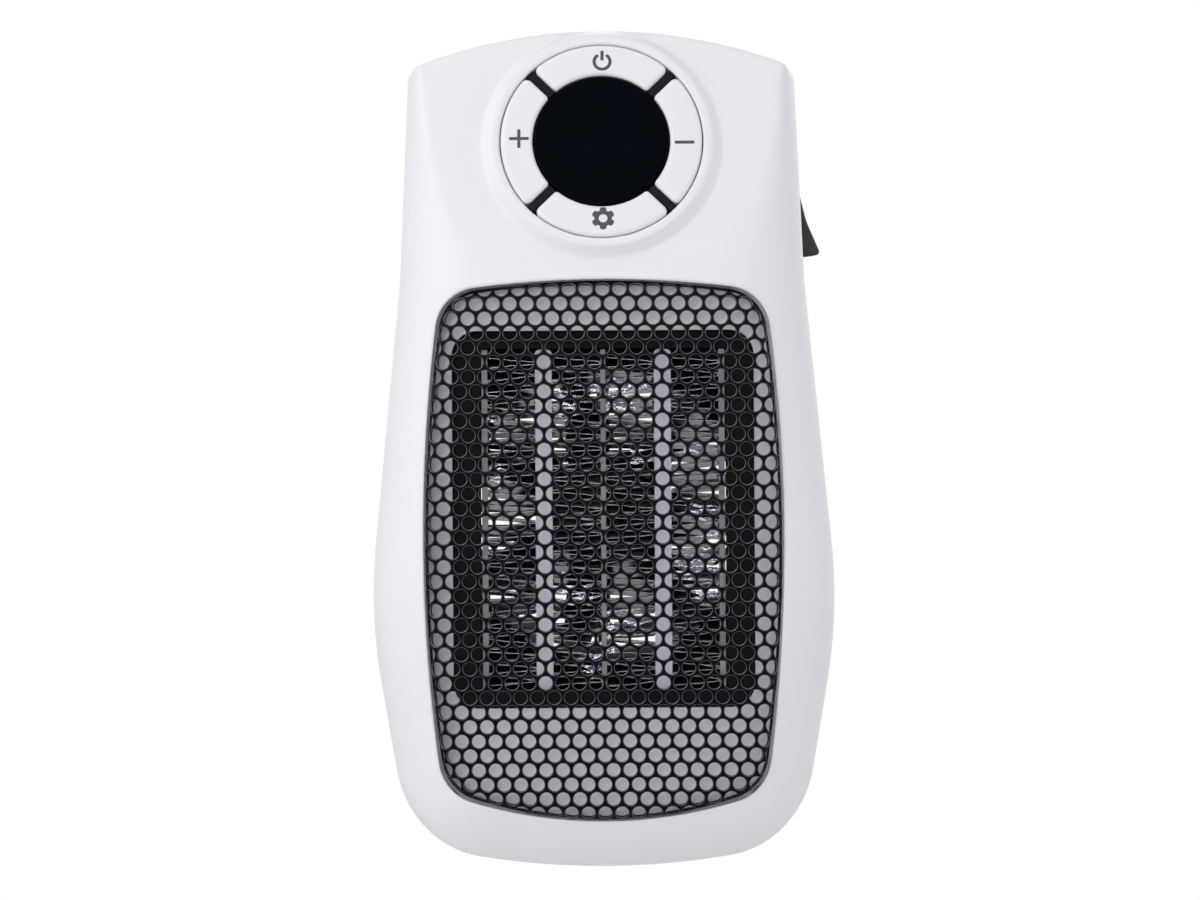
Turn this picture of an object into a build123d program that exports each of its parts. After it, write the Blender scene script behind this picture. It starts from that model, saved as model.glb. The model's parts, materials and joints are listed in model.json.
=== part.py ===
from build123d import *
from math import atan, ceil, cos, degrees, radians, sin, sqrt, tan
import os

os.makedirs("parts", exist_ok=True)

# Plug-in fan heater, in millimetres. +Z is up, the front looks along -Y and the plug pins
# point along +Y. The origin is the centre of the plug face, between the two pins.
# A depth is measured forwards from the plug face, so a piece at a depth lies at y = -depth.
# A drop is measured down from the top of the housing, and a rise up from its bottom.

# Housing
HEIGHT = 200.0
PLUG_BELOW_TOP = 44.0
PLUG_DEPTH = 18.5
REAR_DEPTH = 30.0
FRONT_DEPTH = 40.25
WALL = 2.2
BACK_WALL = 2.5
PILLOW_ROUND = 23.0
BELLY_RADIUS = 650.0
BELLY_CROWN_DROP = 75.0
REAR_STEP = 1.5
REAR_DRAFT = 3.0
REAR_ROUND = 4.5
LIP_HEIGHT = 2.0
LIP_GAP = 0.1

# Corners of the housing's outline, as half widths and heights, and their rounding
SHOULDER_HALF = 46.1
SHOULDER_DROP = 9.0
SHOULDER_ROUND = 5.8
WAIST_HALF = 48.3
WAIST_DROP = 59.5
WAIST_ROUND = 110.0
HIP_HALF = 56.2
HIP_DROP = 139.1
HIP_ROUND = 126.0
FOOT_HALF = 47.0
FOOT_RISE = 6.1
FOOT_ROUND = 27.0

# Tilted control face, with its collar, button ring and display
CONTROL_TILT = 17.0
CONTROL_DROP = 27.5
CONTROL_SETBACK = 10.05
OPENING_RADIUS = 24.2
COLLAR_CREST_RADIUS = 26.2
COLLAR_FOOT_RADIUS = 28.3
COLLAR_HEIGHT = 2.0
RING_GAP = 0.3
LENS_RADIUS = 16.1
LENS_THICKNESS = 2.0
LENS_STAND = 1.0
CAP_STAND = 1.8
CAP_THICKNESS = 3.3
CAP_CORNER = 0.9
CAP_EDGE = 0.5
CAP_GAP = 0.25
SPOKE_WIDTH = 2.1
SPOKE_STAND = 0.9
SPOKE_GAP = 0.15
FRAME_THICKNESS = 1.5
FRAME_RADIUS = 27.5
STEM_RADIUS_AT = 20.0
STEM_WIDTH = 4.6
STEM_DEPTH = 2.6
STEM_GAP = 0.1
HOOK_OVERHANG = 0.5
HOOK_HEIGHT = 0.5
PUSH_SWITCH_SIDE = 6.0
PUSH_SWITCH_HEIGHT = 3.5
PLUNGER_RADIUS = 1.7
PLUNGER_STAND = 1.0
PLUNGER_LENGTH = 1.9
PLUNGER_WELL = 1.6
PLUNGER_GAP = 0.05
CONTROL_BOARD_WIDTH = 54.0
CONTROL_BOARD_HEIGHT = 46.0
CONTROL_POST_X = 23.0
CONTROL_POST_Y = 20.0
DISPLAY_WIDTH = 24.0
DISPLAY_HEIGHT = 14.0

# Window and its perforated grille
WINDOW_TOP_DROP = 59.6
WINDOW_TOP_SAG = 3.0
WINDOW_BOTTOM_RISE = 11.6
WINDOW_BOTTOM_SAG = 6.9
WINDOW_HALF = 42.7
WINDOW_CORNER_HALF = 38.4
WINDOW_TOP_ROUND = 11.0
WINDOW_BOTTOM_ROUND = 12.0
GRILLE_GAP = 0.3
GRILLE_SHEET = 0.8
GRILLE_RECESS = 1.2
GRILLE_EDGE = 2.0
GRILLE_FLANGE = 1.2
GRILLE_DEPTH = 8.0
GRILLE_FOLDS = 3
GRILLE_HOLE = 6.7
GRILLE_PITCH = 8.5
GRILLE_BORDER = 4.6

# Baffle behind the grille
BAFFLE_SETBACK = 12.9
BAFFLE_TILT = 4.33
BAFFLE_THICKNESS = 2.0
BAFFLE_TOP_DROP = 56.6
BAFFLE_OPENING_WIDTH = 72.0
BAFFLE_OPENING_HEIGHT = 90.0
BAFFLE_OPENING_ROUND = 6.0
FUNNEL_WALL = 1.6
SEAT_GAP = 0.3

# Heating element and its bracket
ELEMENT_DROP = 116.6
ELEMENT_WIDTH = 58.0
ELEMENT_HEIGHT = 81.0
ELEMENT_DEPTH = 11.0
TUBE_THICKNESS = 4.0
EDGE_PLATE = 1.4
CENTRE_PLATE = 1.2
INNER_FIN_WIDTH = 11.6
FIN_SHEET = 0.25
FIN_PITCH = 2.7
BRACKET_DEPTH = 12.5
BRACKET_WALL = 2.0
BRACKET_PLATE = 2.0
BRACKET_FLANGE = 5.5
TERMINAL_WIDTH = 4.8
TERMINAL_THICKNESS = 0.8
TERMINAL_LENGTH = 6.0
THERMOSTAT_LENGTH = 20.0
THERMOSTAT_WIDTH = 7.5
THERMOSTAT_HEIGHT = 4.0
FUSE_RADIUS = 2.0
FUSE_LENGTH = 11.0

# Fan, motor and duct
FAN_RADIUS = 33.0
FAN_TIP_GAP = 1.5
FAN_DEPTH = 10.5
FAN_GAP = 2.0
FAN_HUB_RADIUS = 13.0
FAN_HUB_WALL = 1.6
BLADE_COUNT = 7
BLADE_THICKNESS = 1.4
BLADE_ROOT_CHORD = 13.0
BLADE_TIP_CHORD = 20.0
BLADE_ROOT_PITCH = 48.0
BLADE_TIP_PITCH = 24.0
SHAFT_RADIUS = 1.0
SHAFT_GAP = 0.05
MOTOR_RADIUS = 13.7
MOTOR_LENGTH = 16.0
MOTOR_BOSS_RADIUS = 3.0
MOTOR_BOSS_LENGTH = 1.6
MOTOR_GAP = 1.5
CUP_WALL = 2.0
CUP_GAP = 0.1
DUCT_WALL = 1.6
DUCT_PLATE = 2.5
DUCT_LENGTH = 19.0
DUCT_PLATE_WIDTH = 78.0
DUCT_PLATE_HEIGHT = 96.0
ARM_COUNT = 4
ARM_WIDTH = 4.0
MOTOR_SCREW_AT = 8.0
INTAKE_RADIUS = 33.0
SLOT_HEIGHT = 3.0
SLOT_PITCH = 6.0
SLOT_RIB = 3.0

# Rocker switch on the right side
SWITCH_DROP = 46.6
SWITCH_DEPTH = 38.0
BEZEL_WIDTH = 15.0
BEZEL_LENGTH = 21.0
BEZEL_STAND = 1.2
BEZEL_EDGE = 0.6
SWITCH_WIDTH = 12.8
SWITCH_LENGTH = 19.2
SWITCH_END_WALL = 0.6
SWITCH_INSIDE = 12.8
SWITCH_HOLE_GAP = 0.2
SWITCH_FLOOR = 9.0
ROCKER_WIDTH = 10.6
ROCKER_HALF = 8.5
ROCKER_FOOT_HALF = 7.4
ROCKER_RISE = 2.7
ROCKER_HOLLOW = 1.3
ROCKER_PIVOT = 2.5
ROCKER_KEEL = 2.2
ROCKER_ANGLE = 13.0
ROCKER_GAP = 0.2
TRUNNION_RADIUS = 1.2
TRUNNION_GAP = 0.05
SWITCH_TERMINAL_AT = 5.0

# Plug, which turns in the back of the housing
PIN_SPACING = 19.0
PIN_RADIUS = 2.4
PIN_LENGTH = 19.0
PIN_TIP = 1.0
PIN_NECK_RADIUS = 2.0
PIN_NECK_LENGTH = 0.3
PIN_RECESS = 1.0
PLUG_RADIUS = 18.3
PLUG_EDGE = 1.2
KEY_WIDTH = 5.4
KEY_DEPTH = 2.6
CLIP_WIDTH = 8.0
CLIP_DEPTH = 3.2
TURRET_RADIUS = 22.0
TURRET_GAP = 0.06
TURRET_LIP = 1.6
TURRET_LIP_THICKNESS = 2.0
TURRET_PLAY = 0.1
HUB_RADIUS = 17.0
HUB_DEPTH = 6.0
RETAINER_RADIUS = 26.5
RETAINER_THICKNESS = 2.0
TURRET_SCREW_AT = 19.5
TURRET_SCREW_REACH = 4.0
TRACK_THICKNESS = 0.8
INNER_TRACK = 5.2
OUTER_TRACK = 13.8
TRACK_WIDTH = 2.4
TRACK_TAB = 3.6
TRACK_TAB_LAP = 1.5
BRUSH_WIDTH = 3.0
BRUSH_SHEET = 0.4
BRUSH_GAP = 0.05
BRUSH_TOE = 2.0
BRUSH_ARM = 8.0
BRUSH_FOOT = 4.0

# Power board behind the controls
BOARD_THICKNESS = 1.6
BOARD_STANDOFF = 11.0
BOARD_WIDTH = 54.0
BOARD_HEIGHT = 60.0
BOARD_LIFT = 4.0
BOARD_POST_X = 24.0
BOARD_POST_Y = 26.0
POST_RADIUS = 2.8
RELAY_WIDTH = 15.5
RELAY_HEIGHT = 19.0
RELAY_DEPTH = 15.0
RELAY_AT = (-11.0, 15.0)
CAPACITOR_WIDTH = 18.0
CAPACITOR_HEIGHT = 8.0
CAPACITOR_DEPTH = 12.0
CAPACITOR_AT = (11.0, 20.0)

# Screws
SHELL_SCREW_X = 33.0
SHELL_SCREW_DROP = 16.0
SHELL_SCREW_FOOT_X = 39.0
SHELL_SCREW_RISE = 15.5
SHELL_POST_RADIUS = 4.4
SHELL_POST_WEB = 4.0
SHELL_SCREW_REACH = 10.0
DUCT_SCREW_X = 35.0
DUCT_SCREW_Y = 44.0
DUCT_SCREW_REACH = 8.0
SCREW_RADIUS = 1.45
SCREW_HEAD_RADIUS = 2.7
SCREW_HEAD_HEIGHT = 1.8
SCREW_GAP = 0.05
SMALL_SCREW_RADIUS = 1.1
SMALL_SCREW_HEAD_RADIUS = 2.0
SMALL_SCREW_HEAD_HEIGHT = 1.3
SMALL_SCREW_REACH = 5.0

# Levels worked out from the sizes
TOP = PLUG_BELOW_TOP
BOTTOM = TOP - HEIGHT
BACK = PLUG_DEPTH
BACK_INSIDE = BACK + BACK_WALL
SPLIT = BACK + REAR_DEPTH
FRONT = SPLIT + FRONT_DEPTH
BELLY_CROWN = TOP - BELLY_CROWN_DROP
SHAPE_MARGIN = 10.0
CENTRE_Z = TOP - ELEMENT_DROP
MOTOR_BACK = BACK_INSIDE + MOTOR_GAP
MOTOR_FRONT = MOTOR_BACK + MOTOR_LENGTH
CUP_FRONT = MOTOR_FRONT + CUP_WALL
FAN_BACK = CUP_FRONT + FAN_GAP
FAN_FRONT = FAN_BACK + FAN_DEPTH
DUCT_BACK = MOTOR_FRONT
DUCT_FRONT = DUCT_BACK + DUCT_LENGTH
ELEMENT_BACK = DUCT_FRONT
BRACKET_FRONT = ELEMENT_BACK + BRACKET_DEPTH
RETAINER_BACK = BACK_INSIDE + TURRET_PLAY
TRACK_BACK = RETAINER_BACK + HUB_DEPTH
BOARD_BACK = BACK_INSIDE + BOARD_STANDOFF
BOARD_FRONT = BOARD_BACK + BOARD_THICKNESS
LENS_SEAT = LENS_STAND - LENS_THICKNESS
CAP_BASE = CAP_STAND - CAP_THICKNESS
FRAME_BASE = -WALL - FRAME_THICKNESS
HOOK_TOP = FRAME_BASE - STEM_GAP
PLUNGER_TOP = HOOK_TOP - HOOK_HEIGHT - 0.4
PUSH_SWITCH_TOP = PLUNGER_TOP - PLUNGER_STAND
CONTROL_BOARD_TOP = PUSH_SWITCH_TOP - PUSH_SWITCH_HEIGHT

CONTROL = Plane(
    origin=(0, CONTROL_SETBACK - FRONT, TOP - CONTROL_DROP),
    x_dir=(1, 0, 0),
    z_dir=(0, -cos(radians(CONTROL_TILT)), sin(radians(CONTROL_TILT))),
)
CONTROL_AXIS = Axis(CONTROL.origin, CONTROL.z_dir)
BAFFLE = Plane(
    origin=(0, BAFFLE_SETBACK - FRONT, CENTRE_Z),
    x_dir=(1, 0, 0),
    z_dir=(0, -cos(radians(BAFFLE_TILT)), -sin(radians(BAFFLE_TILT))),
)


def upright(depth, height=0.0):
    """Plane that faces forwards at a depth, with its own origin at a height."""
    return Plane(origin=(0, -depth, height), x_dir=(1, 0, 0), z_dir=(0, -1, 0))


def corners_at(sketch, height):
    """The sketch's pair of corners at a height."""
    return [corner for corner in sketch.vertices() if abs(corner.Y - height) < 0.05]


def outline(inset, rise=0.0):
    """Front outline of the housing, moved inwards by inset. With a rise, its sides run on
    that far above the shoulders to a straight top."""
    shoulder = TOP - SHOULDER_DROP
    flare = (WAIST_HALF - SHOULDER_HALF) / (WAIST_DROP - SHOULDER_DROP)
    with BuildSketch() as shape:
        with BuildLine():
            side = Polyline(
                (SHOULDER_HALF - flare * rise, shoulder + rise),
                (WAIST_HALF, TOP - WAIST_DROP),
                (HIP_HALF, TOP - HIP_DROP),
                (FOOT_HALF, BOTTOM + FOOT_RISE),
            )
            mirror(side, about=Plane.YZ)
            ThreePointArc(side @ 1, (0, BOTTOM), (-FOOT_HALF, BOTTOM + FOOT_RISE))
            start = side @ 0
            if rise:
                Line(start, (-start.X, start.Y))
            else:
                ThreePointArc(start, (0, TOP), (-start.X, start.Y))
        make_face()
        fillet(corners_at(shape, TOP - WAIST_DROP), WAIST_ROUND)
        fillet(corners_at(shape, TOP - HIP_DROP), HIP_ROUND)
        fillet(corners_at(shape, BOTTOM + FOOT_RISE), FOOT_ROUND)
        if not rise:
            fillet(corners_at(shape, shoulder), SHOULDER_ROUND)
        if inset:
            offset(amount=-inset, kind=Kind.INTERSECTION, mode=Mode.REPLACE)
    return shape.sketch


def window(inset):
    """Outline of the grille's window, moved inwards by inset."""
    top = TOP - WINDOW_TOP_DROP - inset
    bottom = BOTTOM + WINDOW_BOTTOM_RISE + inset
    high = top - WINDOW_TOP_SAG
    low = bottom + WINDOW_BOTTOM_SAG
    half = WINDOW_CORNER_HALF - inset
    side = WINDOW_HALF - inset
    middle = (high + low) / 2
    with BuildSketch() as shape:
        with BuildLine():
            ThreePointArc((-half, high), (0, top), (half, high))
            ThreePointArc((half, high), (side, middle), (half, low))
            ThreePointArc((half, low), (0, bottom), (-half, low))
            ThreePointArc((-half, low), (-side, middle), (-half, high))
        make_face()
        fillet(corners_at(shape, high), WINDOW_TOP_ROUND - inset)
        fillet(corners_at(shape, low), WINDOW_BOTTOM_ROUND - inset)
    return shape.sketch


def belly(inset):
    """Everything behind the belly's large arc, which is moved inwards by inset."""
    radius = BELLY_RADIUS - inset
    centre = BELLY_RADIUS - FRONT
    reach = HEIGHT
    far = centre - sqrt(radius**2 - reach**2)
    high = BELLY_CROWN + reach
    low = BELLY_CROWN - reach
    with BuildPart() as form:
        with BuildSketch(Plane.YZ):
            with BuildLine():
                ThreePointArc((far, low), (centre - radius, BELLY_CROWN), (far, high))
                Polyline((far, high), (0, high), (0, low), (far, low))
            make_face()
        extrude(amount=HEIGHT / 2, both=True)
    return form.part


def under_arch(inset):
    """Everything below the arc of the housing's top, which is moved inwards by inset."""
    arch_radius = (SHOULDER_HALF**2 + SHOULDER_DROP**2) / (2 * SHOULDER_DROP)
    radius = arch_radius - inset
    centre = TOP - arch_radius
    half = SHOULDER_HALF + SHAPE_MARGIN
    side = centre + sqrt(radius**2 - half**2)
    with BuildSketch() as shape:
        with BuildLine():
            ThreePointArc((-half, side), (0, centre + radius), (half, side))
            Polyline((half, side), (half, side - HEIGHT), (-half, side - HEIGHT), (-half, side))
        make_face()
    return shape.sketch


def front_form(inset, collar=False):
    """Solid form of the front half, with its outside moved inwards by inset: a pillow with
    a belly arc, cut by the tilted control face and by the arched top."""
    with BuildPart() as form:
        with BuildSketch(upright(SPLIT)):
            add(outline(inset, PILLOW_ROUND))
        extrude(amount=FRONT_DEPTH + SHAPE_MARGIN)
        add(belly(inset), mode=Mode.INTERSECT)
        front = form.faces().sort_by(Axis.Y)[0]
        fillet(front.edges().sort_by(Axis.Z)[:-1], PILLOW_ROUND - inset)
        split(bisect_by=CONTROL.offset(-inset), keep=Keep.BOTTOM)
        if collar:
            with BuildSketch(CONTROL):
                Circle(COLLAR_FOOT_RADIUS)
            slope = degrees(atan((COLLAR_FOOT_RADIUS - COLLAR_CREST_RADIUS) / COLLAR_HEIGHT))
            extrude(amount=COLLAR_HEIGHT, taper=slope)
        with BuildSketch(upright(SPLIT)):
            add(under_arch(inset))
        extrude(amount=FRONT_DEPTH + SHAPE_MARGIN, mode=Mode.INTERSECT)
        top = form.faces().sort_by(Axis.Z)[-1]
        shoulders = [edge for edge in top.edges() if abs(edge.center().X) > SHOULDER_HALF * 0.8]
        fillet(shoulders, SHOULDER_ROUND - inset)
    return form.part


def front_columns(places, radius, base):
    """Round columns that stand inside the front half, from a depth up into its wall."""
    with BuildPart() as columns:
        with BuildSketch(upright(base)):
            with Locations(*places):
                Circle(radius)
        extrude(amount=FRONT + SHAPE_MARGIN - base)
        add(mid_wall, mode=Mode.INTERSECT)
    return columns.part


def four(x, y, centre=0.0):
    """The four corners of a rectangle of half sizes x and y about a height."""
    return [(-x, centre - y), (x, centre - y), (-x, centre + y), (x, centre + y)]


# Forms used more than once: the middle of the front wall, its inside, and a loose fit in it
mid_wall = front_form(WALL / 2)
cavity = front_form(WALL)
loose_cavity = front_form(WALL + SEAT_GAP)

SHELL_SCREWS = [
    (-SHELL_SCREW_X, TOP - SHELL_SCREW_DROP),
    (SHELL_SCREW_X, TOP - SHELL_SCREW_DROP),
    (-SHELL_SCREW_FOOT_X, BOTTOM + SHELL_SCREW_RISE),
    (SHELL_SCREW_FOOT_X, BOTTOM + SHELL_SCREW_RISE),
]
DUCT_SCREWS = four(DUCT_SCREW_X, DUCT_SCREW_Y, CENTRE_Z)
BOARD_SCREWS = four(BOARD_POST_X, BOARD_POST_Y, BOARD_LIFT)
CONTROL_SCREWS = four(CONTROL_POST_X, CONTROL_POST_Y)

# Front shell
shell_bosses = front_columns(SHELL_SCREWS, SHELL_POST_RADIUS, SPLIT)
with BuildPart() as control_posts:
    with BuildSketch(CONTROL.offset(CONTROL_BOARD_TOP)):
        with Locations(*CONTROL_SCREWS):
            Circle(POST_RADIUS)
    extrude(amount=-CONTROL_BOARD_TOP)
    add(mid_wall, mode=Mode.INTERSECT)

with BuildPart() as front_shell:
    add(front_form(0, collar=True))
    add(cavity, mode=Mode.SUBTRACT)
    add(shell_bosses)
    add(control_posts.part)
    with BuildSketch(upright(SPLIT)):
        add(window(0))
    extrude(amount=FRONT_DEPTH + SHAPE_MARGIN, mode=Mode.SUBTRACT)
    with BuildSketch(CONTROL.offset(-2 * WALL)):
        Circle(OPENING_RADIUS)
    extrude(amount=SHAPE_MARGIN + WALL, mode=Mode.SUBTRACT)
    with BuildSketch(upright(SPLIT)):
        with Locations(*SHELL_SCREWS):
            Circle(SCREW_RADIUS + SCREW_GAP)
    extrude(amount=SHELL_SCREW_REACH + 1, mode=Mode.SUBTRACT)
    with BuildSketch(CONTROL.offset(CONTROL_BOARD_TOP)):
        with Locations(*CONTROL_SCREWS):
            Circle(SMALL_SCREW_RADIUS + SCREW_GAP)
    extrude(amount=SMALL_SCREW_REACH + 1, mode=Mode.SUBTRACT)
front_shell.part.label = "front_shell"
export_step(front_shell.part, "parts/front_shell.step")


# Rear shell: its outside is drafted towards the back, its inside is straight
rear_taper = REAR_DEPTH * tan(radians(REAR_DRAFT))
with BuildPart() as rear_form:
    with BuildSketch(upright(SPLIT)):
        add(outline(REAR_STEP))
    extrude(amount=-REAR_DEPTH, taper=REAR_DRAFT)
    fillet(rear_form.faces().sort_by(Axis.Y)[-1].edges(), REAR_ROUND)
with BuildPart() as rear_cavity:
    with BuildSketch(upright(BACK_INSIDE)):
        add(outline(REAR_STEP + rear_taper + WALL))
    extrude(amount=SPLIT - BACK_INSIDE)

# Right wall of the rear shell, where the rocker switch sits
side_slope = atan((WAIST_HALF - SHOULDER_HALF) / (WAIST_DROP - SHOULDER_DROP))
side_half = SHOULDER_HALF + (SWITCH_DROP - SHOULDER_DROP) * tan(side_slope) - REAR_STEP
side_half -= (SPLIT - SWITCH_DEPTH) * tan(radians(REAR_DRAFT))
SWITCH = Plane(
    origin=(side_half, -SWITCH_DEPTH, TOP - SWITCH_DROP),
    x_dir=(0, 1, 0),
    z_dir=(cos(side_slope), sin(radians(REAR_DRAFT)), sin(side_slope)),
).offset(BEZEL_STAND)

with BuildPart() as rear_shell:
    add(rear_form.part)
    add(rear_cavity.part, mode=Mode.SUBTRACT)
    # Lip that locates the front shell
    with BuildSketch(upright(SPLIT - LIP_HEIGHT)):
        add(outline(WALL + LIP_GAP))
        add(outline(REAR_STEP + WALL), mode=Mode.SUBTRACT)
    extrude(amount=2 * LIP_HEIGHT)
    with BuildSketch(upright(SPLIT)):
        with Locations(*SHELL_SCREWS):
            Circle(SHELL_POST_RADIUS + LIP_GAP)
    extrude(amount=LIP_HEIGHT, mode=Mode.SUBTRACT)
    # Posts for the housing screws, the duct and the power board
    with BuildSketch(upright(BACK_INSIDE)):
        with Locations(*SHELL_SCREWS):
            Circle(SHELL_POST_RADIUS)
    extrude(amount=SPLIT - BACK_INSIDE)
    with BuildSketch(upright(BACK_INSIDE)):
        with Locations(*DUCT_SCREWS):
            Circle(POST_RADIUS)
    extrude(amount=DUCT_FRONT - DUCT_PLATE - BACK_INSIDE)
    with BuildSketch(upright(BACK_INSIDE)):
        with Locations(*BOARD_SCREWS):
            Circle(POST_RADIUS)
    extrude(amount=BOARD_STANDOFF)
    # Screw holes
    with BuildSketch(upright(SPLIT)):
        with Locations(*SHELL_SCREWS):
            Circle(SCREW_RADIUS + 2 * SCREW_GAP)
    extrude(amount=-REAR_DEPTH, mode=Mode.SUBTRACT)
    with BuildSketch(upright(SPLIT - SHELL_POST_WEB)):
        with Locations(*SHELL_SCREWS):
            Circle(SCREW_HEAD_RADIUS + 2 * SCREW_GAP)
    extrude(amount=-REAR_DEPTH, mode=Mode.SUBTRACT)
    with BuildSketch(upright(DUCT_FRONT - DUCT_PLATE)):
        with Locations(*DUCT_SCREWS):
            Circle(SCREW_RADIUS + SCREW_GAP)
    extrude(amount=-DUCT_SCREW_REACH, mode=Mode.SUBTRACT)
    with BuildSketch(upright(BOARD_BACK)):
        with Locations(*BOARD_SCREWS):
            Circle(SMALL_SCREW_RADIUS + SCREW_GAP)
    extrude(amount=-SMALL_SCREW_REACH, mode=Mode.SUBTRACT)
    # Journal hole for the turning plug
    with BuildSketch(upright(BACK_INSIDE)):
        Circle(TURRET_RADIUS)
    extrude(amount=-2 * BACK_WALL, mode=Mode.SUBTRACT)
    # Air intake behind the fan, two slots to a row
    with BuildSketch(upright(BACK_INSIDE, CENTRE_Z)):
        rows = ceil(INTAKE_RADIUS / SLOT_PITCH)
        for row in range(1 - rows, rows):
            length = sqrt(INTAKE_RADIUS**2 - (row * SLOT_PITCH) ** 2) - SLOT_RIB / 2
            middle = (SLOT_RIB + length) / 2
            with Locations((-middle, row * SLOT_PITCH), (middle, row * SLOT_PITCH)):
                Rectangle(length, SLOT_HEIGHT)
    extrude(amount=-2 * BACK_WALL, mode=Mode.SUBTRACT)
    # Hole for the rocker switch
    with BuildSketch(SWITCH.offset(-SWITCH_INSIDE / 2)):
        Rectangle(SWITCH_WIDTH + 2 * SWITCH_HOLE_GAP, SWITCH_LENGTH + 2 * SWITCH_HOLE_GAP)
    extrude(amount=SWITCH_INSIDE, mode=Mode.SUBTRACT)
rear_shell.part.label = "rear_shell"
export_step(rear_shell.part, "parts/rear_shell.step")


def folded_belly(inset):
    """Everything behind the grille's flats, which follow the belly's arc moved inwards."""
    radius = BELLY_RADIUS - inset
    centre = BELLY_RADIUS - FRONT
    top = TOP - WINDOW_TOP_DROP + 2 * GRILLE_FLANGE
    bottom = BOTTOM + WINDOW_BOTTOM_RISE - 2 * GRILLE_FLANGE
    points = []
    for fold in range(GRILLE_FOLDS + 1):
        height = top + (bottom - top) * fold / GRILLE_FOLDS
        points.append((centre - sqrt(radius**2 - (height - BELLY_CROWN) ** 2), height))
    with BuildPart() as form:
        with BuildSketch(Plane.YZ):
            with BuildLine():
                Polyline((0, top), *points, (0, bottom), (0, top))
            make_face()
        extrude(amount=HEIGHT / 2, both=True)
    return form.part


def grille_form(inset):
    """Solid under the grille's outside: the window's shape with flats and a bevelled rim."""
    with BuildPart() as form:
        with BuildSketch(upright(SPLIT)):
            add(window(GRILLE_GAP + inset))
        extrude(amount=FRONT_DEPTH + SHAPE_MARGIN)
        add(folded_belly(GRILLE_RECESS + inset), mode=Mode.INTERSECT)
        flats = form.faces().filter_by(GeomType.PLANE).sort_by(Axis.Y)[:GRILLE_FOLDS]
        rim = [edge for edge in flats.edges() if sum(edge in flat.edges() for flat in flats) == 1]
        chamfer(rim, GRILLE_EDGE - inset * (2 - sqrt(2)))
    return form.part


def grille_holes():
    """Centres of the grille's staggered holes, in level rows clear of the rim."""
    field = window(GRILLE_BORDER).face()
    middle = field.center().Y
    step = GRILLE_PITCH * sqrt(3) / 2
    rows = ceil(HEIGHT / step / 2)
    columns = ceil(WINDOW_HALF / GRILLE_PITCH)
    places = []
    for row in range(-rows, rows + 1):
        for column in range(-columns, columns + 1):
            place = ((column + (row % 2) / 2) * GRILLE_PITCH, middle + row * step)
            if field.is_inside(Vector(*place)):
                places.append(place)
    return places


# Perforated grille: a dished sheet, with a flange behind the window's rim where there is room
with BuildPart() as front_grille:
    with BuildSketch(upright(SPLIT)):
        add(window(-GRILLE_FLANGE))
        with Locations(*SHELL_SCREWS):
            Circle(SHELL_POST_RADIUS + SEAT_GAP, mode=Mode.SUBTRACT)
    extrude(amount=FRONT_DEPTH + SHAPE_MARGIN)
    add(folded_belly(GRILLE_DEPTH - GRILLE_SHEET), mode=Mode.INTERSECT)
    add(loose_cavity, mode=Mode.INTERSECT)
    add(grille_form(0))
    add(grille_form(GRILLE_SHEET), mode=Mode.SUBTRACT)
    add(folded_belly(GRILLE_DEPTH), mode=Mode.SUBTRACT)
    with BuildSketch(upright(SPLIT)):
        with Locations(*grille_holes()):
            RegularPolygon(GRILLE_HOLE / 2, 6, major_radius=False, rotation=30)
    extrude(amount=FRONT_DEPTH + SHAPE_MARGIN, mode=Mode.SUBTRACT)
front_grille.part.label = "front_grille"
export_step(front_grille.part, "parts/front_grille.step")

# Baffle behind the grille, with a funnel round its opening back to the bracket
rim_width = BAFFLE_OPENING_WIDTH + 2 * FUNNEL_WALL
rim_height = BAFFLE_OPENING_HEIGHT + 2 * FUNNEL_WALL
with BuildPart() as outlet_baffle:
    with BuildSketch(upright(BRACKET_FRONT - FUNNEL_WALL)):
        with Locations((0, (TOP - BAFFLE_TOP_DROP + BOTTOM) / 2)):
            Rectangle(2 * HIP_HALF, TOP - BAFFLE_TOP_DROP - BOTTOM)
        with Locations(*SHELL_SCREWS):
            Circle(SHELL_POST_RADIUS + SEAT_GAP, mode=Mode.SUBTRACT)
    extrude(amount=FRONT - BRACKET_FRONT)
    split(bisect_by=BAFFLE.offset(-BAFFLE_THICKNESS), keep=Keep.TOP)
    with BuildSketch(upright(BRACKET_FRONT, CENTRE_Z)):
        RectangleRounded(rim_width, rim_height, BAFFLE_OPENING_ROUND + FUNNEL_WALL)
    extrude(amount=FRONT - BRACKET_FRONT)
    split(bisect_by=BAFFLE, keep=Keep.BOTTOM)
    add(loose_cavity, mode=Mode.INTERSECT)
    with BuildSketch(upright(BRACKET_FRONT, CENTRE_Z)):
        RectangleRounded(BAFFLE_OPENING_WIDTH, BAFFLE_OPENING_HEIGHT, BAFFLE_OPENING_ROUND)
    extrude(amount=FRONT - BRACKET_FRONT, mode=Mode.SUBTRACT)
outlet_baffle.part.label = "outlet_baffle"
export_step(outlet_baffle.part, "parts/outlet_baffle.step")

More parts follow.
